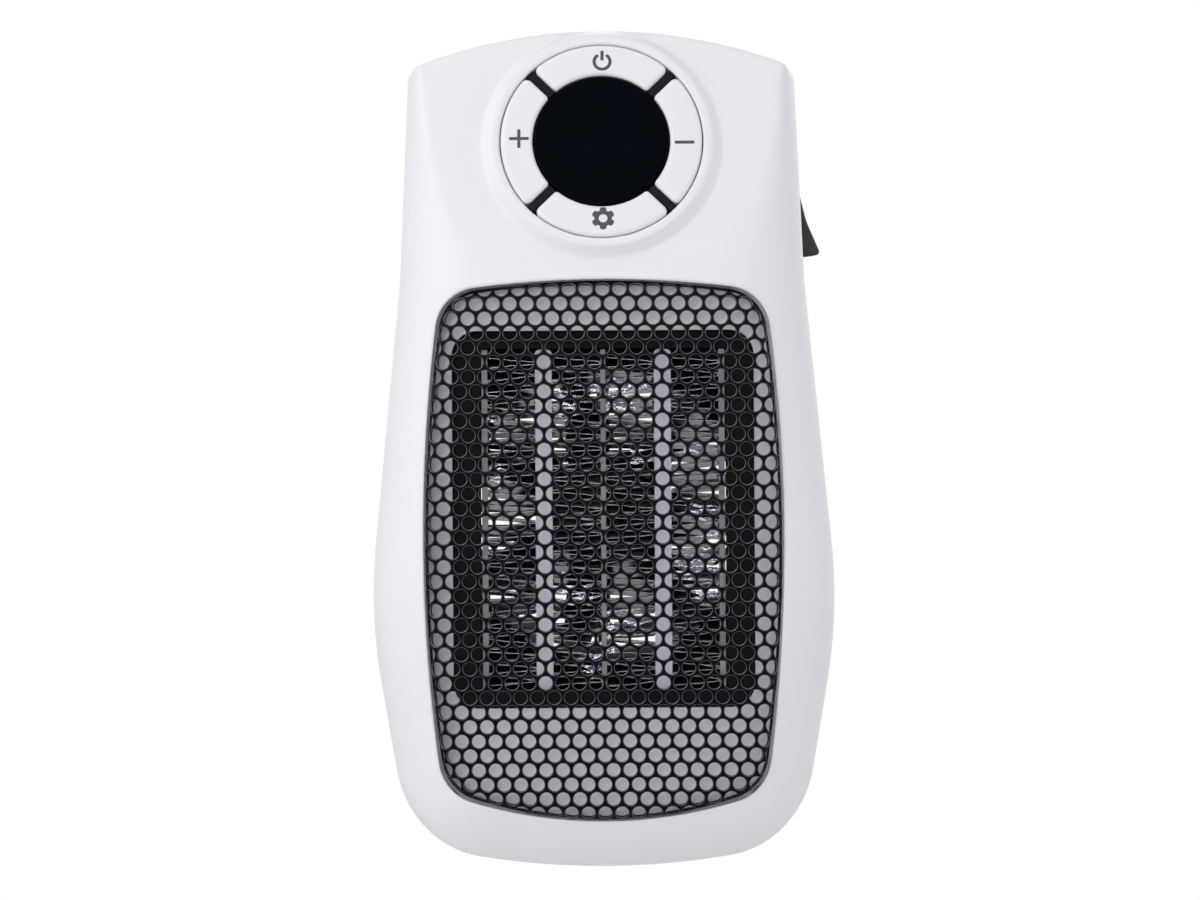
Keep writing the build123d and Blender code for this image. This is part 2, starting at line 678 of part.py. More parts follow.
# Black bracket that carries the element between the duct and the baffle
bracket_width = ELEMENT_WIDTH + 2 * SEAT_GAP
bracket_height = ELEMENT_HEIGHT + 2 * SEAT_GAP
tube_at = CENTRE_PLATE / 2 + INNER_FIN_WIDTH + TUBE_THICKNESS / 2
with BuildPart() as heater_bracket:
    with BuildSketch(upright(ELEMENT_BACK, CENTRE_Z)):
        Rectangle(bracket_width + 2 * BRACKET_WALL, bracket_height + 2 * BRACKET_WALL)
    extrude(amount=BRACKET_DEPTH)
    with BuildSketch(upright(BRACKET_FRONT, CENTRE_Z)):
        Rectangle(rim_width, rim_height)
    extrude(amount=-BRACKET_PLATE)
    with BuildSketch(upright(ELEMENT_BACK, CENTRE_Z)):
        RectangleRounded(DUCT_PLATE_WIDTH, DUCT_PLATE_HEIGHT, BRACKET_FLANGE / 2)
    extrude(amount=BRACKET_PLATE)
    with BuildSketch(upright(ELEMENT_BACK, CENTRE_Z)):
        Rectangle(bracket_width, bracket_height)
    extrude(amount=BRACKET_DEPTH, mode=Mode.SUBTRACT)
    with BuildSketch(upright(ELEMENT_BACK)):
        with Locations(*DUCT_SCREWS):
            Circle(SCREW_RADIUS + 2 * SCREW_GAP)
    extrude(amount=BRACKET_PLATE, mode=Mode.SUBTRACT)
    # Slots that let the element's terminals out
    with BuildSketch(upright(ELEMENT_BACK + ELEMENT_DEPTH / 2, CENTRE_Z - ELEMENT_HEIGHT / 2)):
        with Locations((-tube_at, 0), (tube_at, 0)):
            Rectangle(TERMINAL_THICKNESS + 2 * SEAT_GAP, 4 * BRACKET_WALL)
    extrude(amount=TERMINAL_WIDTH / 2 + SEAT_GAP, both=True, mode=Mode.SUBTRACT)
heater_bracket.part.label = "heater_bracket"
export_step(heater_bracket.part, "parts/heater_bracket.step")

# Heating element: two tubes, four columns of folded fins, edge and centre plates
edge_plate_at = (ELEMENT_WIDTH - EDGE_PLATE) / 2
outer_fin_width = ELEMENT_WIDTH / 2 - EDGE_PLATE - tube_at - TUBE_THICKNESS / 2
inner_fin_at = (CENTRE_PLATE + INNER_FIN_WIDTH) / 2
outer_fin_at = tube_at + (TUBE_THICKNESS + outer_fin_width) / 2
with BuildPart() as ptc_tubes:
    with BuildSketch(upright(ELEMENT_BACK, CENTRE_Z)):
        with Locations((-tube_at, 0), (tube_at, 0)):
            RectangleRounded(TUBE_THICKNESS, ELEMENT_HEIGHT, TUBE_THICKNESS / 4)
    extrude(amount=ELEMENT_DEPTH)
ptc_tubes.part.label = "ptc_tubes"
export_step(ptc_tubes.part, "parts/ptc_tubes.step")

with BuildPart() as ptc_plates:
    with BuildSketch(upright(ELEMENT_BACK, CENTRE_Z)):
        Rectangle(CENTRE_PLATE, ELEMENT_HEIGHT)
        with Locations((-edge_plate_at, 0), (edge_plate_at, 0)):
            Rectangle(EDGE_PLATE, ELEMENT_HEIGHT)
    extrude(amount=ELEMENT_DEPTH)
ptc_plates.part.label = "ptc_plates"
export_step(ptc_plates.part, "parts/ptc_plates.step")


def fin_column(width):
    """Folded strip that runs to and fro between two plates: level legs joined by bends."""
    legs = 2 * int(ELEMENT_HEIGHT / FIN_PITCH / 2)
    first = -(legs - 1) * FIN_PITCH / 2
    with BuildSketch() as strip:
        for leg in range(legs):
            with Locations((0, first + leg * FIN_PITCH)):
                Rectangle(width, FIN_SHEET)
        for bend in range(legs - 1):
            side = (width - FIN_SHEET) / 2 * (-1) ** bend
            with Locations((side, first + (bend + 0.5) * FIN_PITCH)):
                Rectangle(FIN_SHEET, FIN_PITCH + FIN_SHEET)
    return strip.sketch


with BuildPart() as ptc_fins:
    with BuildSketch(upright(ELEMENT_BACK, CENTRE_Z)):
        with Locations((-inner_fin_at, 0), (inner_fin_at, 0)):
            add(fin_column(INNER_FIN_WIDTH))
        with Locations((-outer_fin_at, 0), (outer_fin_at, 0)):
            add(fin_column(outer_fin_width))
    extrude(amount=ELEMENT_DEPTH)
ptc_fins.part.label = "ptc_fins"
export_step(ptc_fins.part, "parts/ptc_fins.step")

with BuildPart() as ptc_terminals:
    with BuildSketch(upright(ELEMENT_BACK + ELEMENT_DEPTH / 2, CENTRE_Z - ELEMENT_HEIGHT / 2)):
        with Locations((-tube_at, 0), (tube_at, 0)):
            Rectangle(TERMINAL_THICKNESS, TERMINAL_LENGTH, align=(Align.CENTER, Align.MAX))
    extrude(amount=TERMINAL_WIDTH / 2, both=True)
ptc_terminals.part.label = "ptc_terminals"
export_step(ptc_terminals.part, "parts/ptc_terminals.step")

# Safety parts on top of the bracket
bracket_top = CENTRE_Z + bracket_height / 2 + BRACKET_WALL
safety_depth = ELEMENT_BACK + (BRACKET_DEPTH - BRACKET_PLATE) / 2 + BRACKET_PLATE / 2
with BuildPart() as thermostat:
    with BuildSketch(upright(safety_depth, bracket_top)):
        RectangleRounded(THERMOSTAT_LENGTH, THERMOSTAT_HEIGHT, 1.0, align=(Align.CENTER, Align.MIN))
    extrude(amount=THERMOSTAT_WIDTH / 2, both=True)
thermostat.part.label = "thermostat"
export_step(thermostat.part, "parts/thermostat.step")

with BuildPart() as thermal_fuse:
    with BuildSketch(Plane.YZ.offset(THERMOSTAT_LENGTH / 2 + 4 * FUSE_RADIUS)):
        with Locations((-safety_depth, bracket_top + FUSE_RADIUS)):
            Circle(FUSE_RADIUS)
    extrude(amount=FUSE_LENGTH)
thermal_fuse.part.label = "thermal_fuse"
export_step(thermal_fuse.part, "parts/thermal_fuse.step")

# Fan duct: a plate, a tube round the fan and a motor cup on arms behind it
duct_radius = FAN_RADIUS + FAN_TIP_GAP
cup_radius = MOTOR_RADIUS + CUP_GAP + CUP_WALL
with BuildPart() as fan_duct:
    with BuildSketch(upright(DUCT_FRONT, CENTRE_Z)):
        RectangleRounded(DUCT_PLATE_WIDTH, DUCT_PLATE_HEIGHT, BRACKET_FLANGE / 2)
    extrude(amount=-DUCT_PLATE)
    with BuildSketch(upright(DUCT_BACK, CENTRE_Z)):
        Circle(duct_radius + DUCT_WALL)
    extrude(amount=DUCT_LENGTH)
    with BuildSketch(upright(DUCT_BACK, CENTRE_Z)):
        Circle(duct_radius)
    extrude(amount=DUCT_LENGTH, mode=Mode.SUBTRACT)
    with BuildSketch(upright(DUCT_BACK, CENTRE_Z)):
        with PolarLocations((cup_radius + duct_radius) / 2, ARM_COUNT, start_angle=45):
            Rectangle(duct_radius - cup_radius + DUCT_WALL, ARM_WIDTH)
        Circle(cup_radius)
    extrude(amount=CUP_WALL)
    with BuildSketch(upright(DUCT_BACK, CENTRE_Z)):
        Circle(cup_radius)
        Circle(MOTOR_RADIUS + CUP_GAP, mode=Mode.SUBTRACT)
    extrude(amount=-MOTOR_LENGTH * 0.7)
    with BuildSketch(upright(DUCT_BACK, CENTRE_Z)):
        Circle(MOTOR_BOSS_RADIUS + CUP_GAP)
        with Locations((-MOTOR_SCREW_AT, 0), (MOTOR_SCREW_AT, 0)):
            Circle(SMALL_SCREW_RADIUS + SCREW_GAP)
    extrude(amount=CUP_WALL, mode=Mode.SUBTRACT)
    with BuildSketch(upright(DUCT_FRONT)):
        with Locations(*DUCT_SCREWS):
            Circle(SCREW_RADIUS + 2 * SCREW_GAP)
    extrude(amount=-DUCT_PLATE, mode=Mode.SUBTRACT)
fan_duct.part.label = "fan_duct"
export_step(fan_duct.part, "parts/fan_duct.step")

with BuildPart() as fan_motor:
    with BuildSketch(upright(MOTOR_BACK, CENTRE_Z)):
        Circle(MOTOR_RADIUS)
    extrude(amount=MOTOR_LENGTH)
    with BuildSketch(upright(MOTOR_FRONT, CENTRE_Z)):
        Circle(MOTOR_BOSS_RADIUS)
    extrude(amount=MOTOR_BOSS_LENGTH)
    with BuildSketch(upright(MOTOR_FRONT + MOTOR_BOSS_LENGTH, CENTRE_Z)):
        Circle(SHAFT_RADIUS + SHAFT_GAP)
    extrude(amount=-MOTOR_LENGTH / 2, mode=Mode.SUBTRACT)
    with BuildSketch(upright(MOTOR_FRONT, CENTRE_Z)):
        with Locations((-MOTOR_SCREW_AT, 0), (MOTOR_SCREW_AT, 0)):
            Circle(SMALL_SCREW_RADIUS + SCREW_GAP)
    extrude(amount=-SMALL_SCREW_REACH, mode=Mode.SUBTRACT)
fan_motor.part.label = "fan_motor"
export_step(fan_motor.part, "parts/fan_motor.step")

with BuildPart() as motor_shaft:
    with BuildSketch(upright(MOTOR_FRONT - MOTOR_LENGTH / 4, CENTRE_Z)):
        Circle(SHAFT_RADIUS)
    extrude(amount=FAN_FRONT - FAN_HUB_WALL - MOTOR_FRONT + MOTOR_LENGTH / 4)
motor_shaft.part.label = "motor_shaft"
export_step(motor_shaft.part, "parts/motor_shaft.step")

# Fan: a hub cup on the shaft, with twisted blades lofted from root to tip
with BuildPart() as fan_impeller:
    with BuildSketch(upright(FAN_BACK, CENTRE_Z)):
        Circle(FAN_HUB_RADIUS)
        Circle(FAN_HUB_RADIUS - FAN_HUB_WALL, mode=Mode.SUBTRACT)
        Circle(2 * SHAFT_RADIUS + FAN_HUB_WALL)
    extrude(amount=FAN_DEPTH)
    with BuildSketch(upright(FAN_FRONT - FAN_HUB_WALL, CENTRE_Z)):
        Circle(FAN_HUB_RADIUS)
    extrude(amount=FAN_HUB_WALL)
    for blade in range(BLADE_COUNT):
        turn = radians(360 / BLADE_COUNT * blade)
        outward = Vector(cos(turn), 0, sin(turn))
        for reach, chord, pitch in (
            (FAN_HUB_RADIUS - FAN_HUB_WALL / 2, BLADE_ROOT_CHORD, BLADE_ROOT_PITCH),
            (FAN_RADIUS, BLADE_TIP_CHORD, BLADE_TIP_PITCH),
        ):
            station = Vector(0, -(FAN_BACK + FAN_FRONT) / 2, CENTRE_Z) + outward * reach
            with BuildSketch(Plane(origin=station, x_dir=(0, -1, 0), z_dir=outward)):
                Rectangle(BLADE_THICKNESS, chord, rotation=90 - pitch)
        loft(ruled=True)
    with BuildSketch(upright(FAN_BACK, CENTRE_Z)):
        Circle(FAN_RADIUS)
    extrude(amount=FAN_DEPTH, mode=Mode.INTERSECT)
    with BuildSketch(upright(FAN_BACK, CENTRE_Z)):
        Circle(SHAFT_RADIUS)
    extrude(amount=FAN_DEPTH - FAN_HUB_WALL, mode=Mode.SUBTRACT)
fan_impeller.part.label = "fan_impeller"
export_step(fan_impeller.part, "parts/fan_impeller.step")


def screws(plane, places, radius, head_radius, head_height, reach):
    """Pan head screws that enter along the plane's far side, their heads resting on it."""
    with BuildPart() as group:
        with BuildSketch(plane):
            with Locations(*places):
                Circle(head_radius)
        extrude(amount=head_height)
        with BuildSketch(plane):
            with Locations(*places):
                Circle(radius)
        extrude(amount=-reach)
    return group.part


def away(depth):
    """Plane that faces backwards at a depth; its heights run upwards and x is mirrored."""
    return Plane(origin=(0, -depth, 0), x_dir=(-1, 0, 0), z_dir=(0, 1, 0))


shell_screws = screws(
    away(SPLIT - SHELL_POST_WEB),
    SHELL_SCREWS,
    SCREW_RADIUS,
    SCREW_HEAD_RADIUS,
    SCREW_HEAD_HEIGHT,
    SHELL_POST_WEB + SHELL_SCREW_REACH,
)
shell_screws.label = "shell_screws"
export_step(shell_screws, "parts/shell_screws.step")

duct_screws = screws(
    upright(ELEMENT_BACK + BRACKET_PLATE),
    DUCT_SCREWS,
    SCREW_RADIUS,
    SCREW_HEAD_RADIUS - 0.4,
    SCREW_HEAD_HEIGHT,
    BRACKET_PLATE + DUCT_PLATE + DUCT_SCREW_REACH - 1,
)
duct_screws.label = "duct_screws"
export_step(duct_screws, "parts/duct_screws.step")

motor_screws = screws(
    upright(CUP_FRONT, CENTRE_Z),
    [(-MOTOR_SCREW_AT, 0), (MOTOR_SCREW_AT, 0)],
    SMALL_SCREW_RADIUS,
    SMALL_SCREW_HEAD_RADIUS,
    SMALL_SCREW_HEAD_HEIGHT,
    CUP_WALL + SMALL_SCREW_REACH - 1,
)
motor_screws.label = "motor_screws"
export_step(motor_screws, "parts/motor_screws.step")

# Control cluster, laid out on the tilted face
with BuildPart() as display_lens:
    with BuildSketch(CONTROL.offset(LENS_SEAT)):
        Circle(LENS_RADIUS)
    extrude(amount=LENS_THICKNESS)
    chamfer(display_lens.faces().sort_by(CONTROL_AXIS)[-1].edges(), CAP_EDGE / 2)
display_lens.part.label = "display_lens"
export_step(display_lens.part, "parts/display_lens.step")

BUTTONS = {"power": 90, "plus": 180, "mode": 270, "minus": 0}
stem_places = [
    (STEM_RADIUS_AT * cos(radians(angle)), STEM_RADIUS_AT * sin(radians(angle)))
    for angle in BUTTONS.values()
]
ring_radius = OPENING_RADIUS - RING_GAP
with BuildPart() as button_frame:
    with BuildSketch(CONTROL.offset(FRAME_BASE)):
        Circle(FRAME_RADIUS)
    extrude(amount=FRAME_THICKNESS)
    add(cavity, mode=Mode.INTERSECT)
    with BuildSketch(CONTROL.offset(-WALL)):
        Circle(LENS_RADIUS)
    extrude(amount=LENS_SEAT + WALL)
    with BuildSketch(CONTROL.offset(-WALL)):
        with PolarLocations((ring_radius + LENS_RADIUS + CAP_GAP) / 2, 4, start_angle=45):
            Rectangle(ring_radius - LENS_RADIUS - CAP_GAP, SPOKE_WIDTH)
    extrude(amount=WALL + SPOKE_STAND)
    with BuildSketch(CONTROL.offset(FRAME_BASE)):
        Rectangle(DISPLAY_WIDTH + 2 * SEAT_GAP, DISPLAY_HEIGHT + 2 * SEAT_GAP)
        for name, angle in BUTTONS.items():
            with PolarLocations(STEM_RADIUS_AT, 1, start_angle=angle):
                Rectangle(STEM_DEPTH + 2 * STEM_GAP, STEM_WIDTH + 2 * STEM_GAP)
    extrude(amount=SHAPE_MARGIN, mode=Mode.SUBTRACT)
button_frame.part.label = "button_frame"
export_step(button_frame.part, "parts/button_frame.step")

for name, angle in BUTTONS.items():
    wedge = 2 * ring_radius
    with BuildPart() as button:
        with BuildSketch(CONTROL.offset(CAP_BASE)) as cap:
            Circle(ring_radius)
            Circle(LENS_RADIUS + CAP_GAP, mode=Mode.SUBTRACT)
            for slant in (45, -45):
                Rectangle(SPOKE_WIDTH + 2 * SPOKE_GAP, 2 * wedge, rotation=slant, mode=Mode.SUBTRACT)
            with BuildLine():
                left = (wedge * cos(radians(angle + 45)), wedge * sin(radians(angle + 45)))
                right = (wedge * cos(radians(angle - 45)), wedge * sin(radians(angle - 45)))
                Polyline((0, 0), right, left, (0, 0))
            make_face(mode=Mode.INTERSECT)
            fillet(cap.vertices(), CAP_CORNER)
        extrude(amount=CAP_THICKNESS)
        chamfer(button.faces().sort_by(CONTROL_AXIS)[-1].edges(), CAP_EDGE)
        with BuildSketch(CONTROL.offset(CAP_BASE)):
            with PolarLocations(STEM_RADIUS_AT, 1, start_angle=angle):
                Rectangle(STEM_DEPTH, STEM_WIDTH)
        extrude(amount=PLUNGER_TOP - CAP_BASE)
        with BuildSketch(CONTROL.offset(HOOK_TOP)):
            with PolarLocations(STEM_RADIUS_AT, 1, start_angle=angle):
                Rectangle(STEM_DEPTH, STEM_WIDTH + 2 * HOOK_OVERHANG)
        extrude(amount=-HOOK_HEIGHT)
    button.part.label = "button_" + name
    export_step(button.part, "parts/button_" + name + ".step")

    with BuildPart() as plunger:
        with BuildSketch(CONTROL.offset(PLUNGER_TOP)):
            with PolarLocations(STEM_RADIUS_AT, 1, start_angle=angle):
                Circle(PLUNGER_RADIUS)
        extrude(amount=-PLUNGER_LENGTH)
    plunger.part.label = "plunger_" + name
    export_step(plunger.part, "parts/plunger_" + name + ".step")

with BuildPart() as push_switches:
    with BuildSketch(CONTROL.offset(CONTROL_BOARD_TOP)):
        with Locations(*stem_places):
            Rectangle(PUSH_SWITCH_SIDE, PUSH_SWITCH_SIDE)
    extrude(amount=PUSH_SWITCH_HEIGHT)
    with BuildSketch(CONTROL.offset(PUSH_SWITCH_TOP)):
        with Locations(*stem_places):
            Circle(PLUNGER_RADIUS + PLUNGER_GAP)
    extrude(amount=-PLUNGER_WELL, mode=Mode.SUBTRACT)
push_switches.part.label = "push_switches"
export_step(push_switches.part, "parts/push_switches.step")

with BuildPart() as control_board:
    with BuildSketch(CONTROL.offset(CONTROL_BOARD_TOP)):
        RectangleRounded(CONTROL_BOARD_WIDTH, CONTROL_BOARD_HEIGHT, POST_RADIUS)
        with Locations(*CONTROL_SCREWS):
            Circle(SMALL_SCREW_RADIUS + SCREW_GAP, mode=Mode.SUBTRACT)
    extrude(amount=-BOARD_THICKNESS)
control_board.part.label = "control_board"
export_step(control_board.part, "parts/control_board.step")

with BuildPart() as display_module:
    with BuildSketch(CONTROL.offset(CONTROL_BOARD_TOP)):
        Rectangle(DISPLAY_WIDTH, DISPLAY_HEIGHT)
    extrude(amount=LENS_SEAT - SEAT_GAP - CONTROL_BOARD_TOP)
display_module.part.label = "display_module"
export_step(display_module.part, "parts/display_module.step")

control_back = CONTROL.offset(CONTROL_BOARD_TOP - BOARD_THICKNESS)
board_screw_plane = Plane(
    origin=control_back.origin, x_dir=-control_back.x_dir, z_dir=-control_back.z_dir
)
board_screws = Compound(
    screws(
        board_screw_plane,
        CONTROL_SCREWS,
        SMALL_SCREW_RADIUS,
        SMALL_SCREW_HEAD_RADIUS,
        SMALL_SCREW_HEAD_HEIGHT,
        BOARD_THICKNESS + SMALL_SCREW_REACH - 1,
    ).solids()
    + screws(
        upright(BOARD_FRONT),
        BOARD_SCREWS,
        SMALL_SCREW_RADIUS,
        SMALL_SCREW_HEAD_RADIUS,
        SMALL_SCREW_HEAD_HEIGHT,
        BOARD_THICKNESS + SMALL_SCREW_REACH - 1,
    ).solids()
)
board_screws.label = "board_screws"
export_step(board_screws, "parts/board_screws.step")

# Rocker switch: a snap-in body with a bezel, and a hollow-faced rocker on trunnions
lean = radians(ROCKER_ANGLE)
opening_half = ROCKER_HALF * cos(lean) + (ROCKER_PIVOT + ROCKER_RISE) * sin(lean)
cavity_width = ROCKER_WIDTH + 2 * ROCKER_GAP
switch_wall = (SWITCH_WIDTH - cavity_width) / 2
PIVOT = SWITCH.offset(-ROCKER_PIVOT)
with BuildPart() as switch_body:
    with BuildSketch(SWITCH):
        RectangleRounded(BEZEL_WIDTH, BEZEL_LENGTH, BEZEL_STAND)
    extrude(amount=-BEZEL_STAND)
    fillet(switch_body.faces().sort_by(Axis(SWITCH.origin, SWITCH.z_dir))[-1].edges(), BEZEL_EDGE)
    with BuildSketch(SWITCH.offset(-BEZEL_STAND)):
        Rectangle(SWITCH_WIDTH, SWITCH_LENGTH)
    extrude(amount=-SWITCH_INSIDE)
    with BuildSketch(SWITCH):
        Rectangle(cavity_width, 2 * opening_half)
    extrude(amount=-BEZEL_STAND, mode=Mode.SUBTRACT)
    with BuildSketch(SWITCH.offset(-BEZEL_STAND)):
        Rectangle(cavity_width, SWITCH_LENGTH - 2 * SWITCH_END_WALL)
    extrude(amount=BEZEL_STAND - SWITCH_FLOOR, mode=Mode.SUBTRACT)
    with BuildSketch(Plane(origin=PIVOT.origin, x_dir=PIVOT.y_dir, z_dir=PIVOT.x_dir)):
        Circle(TRUNNION_RADIUS + TRUNNION_GAP)
    extrude(amount=SWITCH_WIDTH, both=True, mode=Mode.SUBTRACT)
switch_body.part.label = "switch_body"
export_step(switch_body.part, "parts/switch_body.step")

with BuildPart() as switch_terminals:
    with BuildSketch(SWITCH.offset(-BEZEL_STAND - SWITCH_INSIDE)):
        with Locations((0, -SWITCH_TERMINAL_AT), (0, SWITCH_TERMINAL_AT)):
            Rectangle(TERMINAL_WIDTH, TERMINAL_THICKNESS)
    extrude(amount=-TERMINAL_LENGTH)
switch_terminals.part.label = "switch_terminals"
export_step(switch_terminals.part, "parts/switch_terminals.step")

# At rest the rocker's lower end stands out
ROCKER = Plane(PIVOT.location * Rotation(-ROCKER_ANGLE, 0, 0))
with BuildPart() as rocker_cap:
    with BuildSketch(Plane(origin=ROCKER.origin, x_dir=ROCKER.y_dir, z_dir=ROCKER.x_dir)):
        crest = ROCKER_PIVOT + ROCKER_RISE
        with BuildLine():
            ThreePointArc((-ROCKER_HALF, crest), (0, crest - ROCKER_HOLLOW), (ROCKER_HALF, crest))
            Polyline(
                (ROCKER_HALF, crest),
                (ROCKER_FOOT_HALF, -ROCKER_KEEL / 2),
                (0, -ROCKER_KEEL),
                (-ROCKER_FOOT_HALF, -ROCKER_KEEL / 2),
                (-ROCKER_HALF, crest),
            )
        make_face()
    extrude(amount=ROCKER_WIDTH / 2, both=True)
    with BuildSketch(Plane(origin=ROCKER.origin, x_dir=ROCKER.y_dir, z_dir=ROCKER.x_dir)):
        Circle(TRUNNION_RADIUS)
    extrude(amount=cavity_width / 2 + switch_wall * 0.8, both=True)
rocker_cap.part.label = "rocker_cap"
export_step(rocker_cap.part, "parts/rocker_cap.step")

# Plug: a round plug with side keys and earth clip recesses, on a turning flange
turret_screws_at = [
    (TURRET_SCREW_AT * cos(radians(turn)), TURRET_SCREW_AT * sin(radians(turn)))
    for turn in (45, 135, 225, 315)
]
pin_places = [(-PIN_SPACING / 2, 0), (PIN_SPACING / 2, 0)]
lip_back = BACK - TURRET_PLAY - TURRET_LIP_THICKNESS
with BuildPart() as plug_body:
    with BuildSketch(upright(0)):
        Circle(PLUG_RADIUS)
        with Locations((-PLUG_RADIUS, 0), (PLUG_RADIUS, 0)):
            Rectangle(2 * KEY_DEPTH, KEY_WIDTH, mode=Mode.SUBTRACT)
        with Locations((0, -PLUG_RADIUS), (0, PLUG_RADIUS)):
            Rectangle(CLIP_WIDTH, 2 * CLIP_DEPTH, mode=Mode.SUBTRACT)
    extrude(amount=lip_back)
    chamfer(plug_body.faces().sort_by(Axis.Y)[-1].edges(), PLUG_EDGE)
    with BuildSketch(upright(lip_back)):
        Circle(TURRET_RADIUS + TURRET_LIP)
    extrude(amount=TURRET_LIP_THICKNESS)
    with BuildSketch(upright(lip_back)):
        Circle(TURRET_RADIUS - TURRET_GAP)
    extrude(amount=RETAINER_BACK - lip_back)
    with BuildSketch(upright(RETAINER_BACK)):
        Circle(HUB_RADIUS)
    extrude(amount=HUB_DEPTH)
    with BuildSketch(upright(0)):
        with Locations(*pin_places):
            Circle(PIN_NECK_RADIUS + SCREW_GAP)
    extrude(amount=TRACK_BACK, mode=Mode.SUBTRACT)
    with BuildSketch(upright(0)):
        with Locations(*pin_places):
            Circle(PIN_RADIUS + SCREW_GAP)
    extrude(amount=PIN_RECESS, mode=Mode.SUBTRACT)
    with BuildSketch(upright(RETAINER_BACK)):
        with Locations(*turret_screws_at):
            Circle(SMALL_SCREW_RADIUS + SCREW_GAP)
    extrude(amount=-TURRET_SCREW_REACH, mode=Mode.SUBTRACT)
plug_body.part.label = "plug_body"
export_step(plug_body.part, "parts/plug_body.step")

with BuildPart() as plug_pins:
    with BuildSketch(upright(-PIN_LENGTH)):
        with Locations(*pin_places):
            Circle(PIN_RADIUS)
    extrude(amount=PIN_LENGTH - PIN_NECK_LENGTH)
    tips = plug_pins.faces().group_by(Axis.Y)[-1]
    chamfer(tips.edges(), PIN_TIP)
    with BuildSketch(upright(-PIN_NECK_LENGTH)):
        with Locations(*pin_places):
            Circle(PIN_NECK_RADIUS)
    extrude(amount=PIN_NECK_LENGTH + TRACK_BACK)
plug_pins.part.label = "plug_pins"
export_step(plug_pins.part, "parts/plug_pins.step")

with BuildPart() as turret_retainer:
    with BuildSketch(upright(RETAINER_BACK)):
        Circle(RETAINER_RADIUS)
        Circle(HUB_RADIUS + SCREW_GAP, mode=Mode.SUBTRACT)
        with Locations(*turret_screws_at):
            Circle(SMALL_SCREW_RADIUS + SCREW_GAP, mode=Mode.SUBTRACT)
    extrude(amount=RETAINER_THICKNESS)
turret_retainer.part.label = "turret_retainer"
export_step(turret_retainer.part, "parts/turret_retainer.step")

turret_screws = screws(
    upright(RETAINER_BACK + RETAINER_THICKNESS),
    turret_screws_at,
    SMALL_SCREW_RADIUS,
    SMALL_SCREW_HEAD_RADIUS,
    SMALL_SCREW_HEAD_HEIGHT,
    RETAINER_THICKNESS + TURRET_SCREW_REACH - 0.5,
)
turret_screws.label = "turret_screws"
export_step(turret_screws, "parts/turret_screws.step")

# Two ring tracks on the plug, each joined to one pin, and the brushes that run on them
tab_end = PIN_SPACING / 2 - TRACK_TAB_LAP
inner_tab_end = PIN_SPACING / 2 + TRACK_TAB_LAP
with BuildPart() as contact_tracks:
    with BuildSketch(upright(TRACK_BACK)):
        Circle(OUTER_TRACK + TRACK_WIDTH / 2)
        Circle(OUTER_TRACK - TRACK_WIDTH / 2, mode=Mode.SUBTRACT)
        Circle(INNER_TRACK + TRACK_WIDTH / 2)
        Circle(INNER_TRACK - TRACK_WIDTH / 2, mode=Mode.SUBTRACT)
        with Locations(((OUTER_TRACK + tab_end) / 2, 0)):
            Rectangle(OUTER_TRACK - tab_end, TRACK_TAB)
        with Locations((-(INNER_TRACK + inner_tab_end) / 2, 0)):
            Rectangle(inner_tab_end - INNER_TRACK, TRACK_TAB)
    extrude(amount=TRACK_THICKNESS)
contact_tracks.part.label = "contact_tracks"
export_step(contact_tracks.part, "parts/contact_tracks.step")

toe_level = TRACK_BACK + TRACK_THICKNESS + BRUSH_GAP + BRUSH_SHEET / 2
foot_level = BOARD_BACK - BRUSH_SHEET / 2
with BuildPart() as brush_contacts:
    for radius, way in ((INNER_TRACK, -1), (OUTER_TRACK, 1)):
        with BuildSketch(Plane.YZ):
            with BuildLine():
                Polyline(
                    (-toe_level, radius - way * BRUSH_TOE / 2),
                    (-toe_level, radius + way * BRUSH_TOE / 2),
                    (-foot_level, radius + way * (BRUSH_TOE / 2 + BRUSH_ARM)),
                    (-foot_level, radius + way * (BRUSH_TOE / 2 + BRUSH_ARM + BRUSH_FOOT)),
                )
            trace(line_width=BRUSH_SHEET)
        extrude(amount=BRUSH_WIDTH / 2, both=True)
brush_contacts.part.label = "brush_contacts"
export_step(brush_contacts.part, "parts/brush_contacts.step")

# Power board with its relay and filter capacitor
with BuildPart() as power_board:
    with BuildSketch(upright(BOARD_BACK, BOARD_LIFT)):
        RectangleRounded(BOARD_WIDTH, BOARD_HEIGHT, POST_RADIUS)
        with Locations(*four(BOARD_POST_X, BOARD_POST_Y)):
            Circle(SMALL_SCREW_RADIUS + SCREW_GAP, mode=Mode.SUBTRACT)
    extrude(amount=BOARD_THICKNESS)
power_board.part.label = "power_board"
export_step(power_board.part, "parts/power_board.step")

with BuildPart() as relay:
    with BuildSketch(upright(BOARD_FRONT)):
        with Locations(RELAY_AT):
            Rectangle(RELAY_WIDTH, RELAY_HEIGHT)
    extrude(amount=RELAY_DEPTH)
relay.part.label = "relay"
export_step(relay.part, "parts/relay.step")

with BuildPart() as filter_capacitor:
    with BuildSketch(upright(BOARD_FRONT)):
        with Locations(CAPACITOR_AT):
            Rectangle(CAPACITOR_WIDTH, CAPACITOR_HEIGHT)
    extrude(amount=CAPACITOR_DEPTH)
filter_capacitor.part.label = "filter_capacitor"
export_step(filter_capacitor.part, "parts/filter_capacitor.step")
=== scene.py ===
import json
import math

import bmesh
import bpy
import numpy as np
from mathutils import Matrix, Vector
from mathutils.geometry import delaunay_2d_cdt
from mathutils.kdtree import KDTree


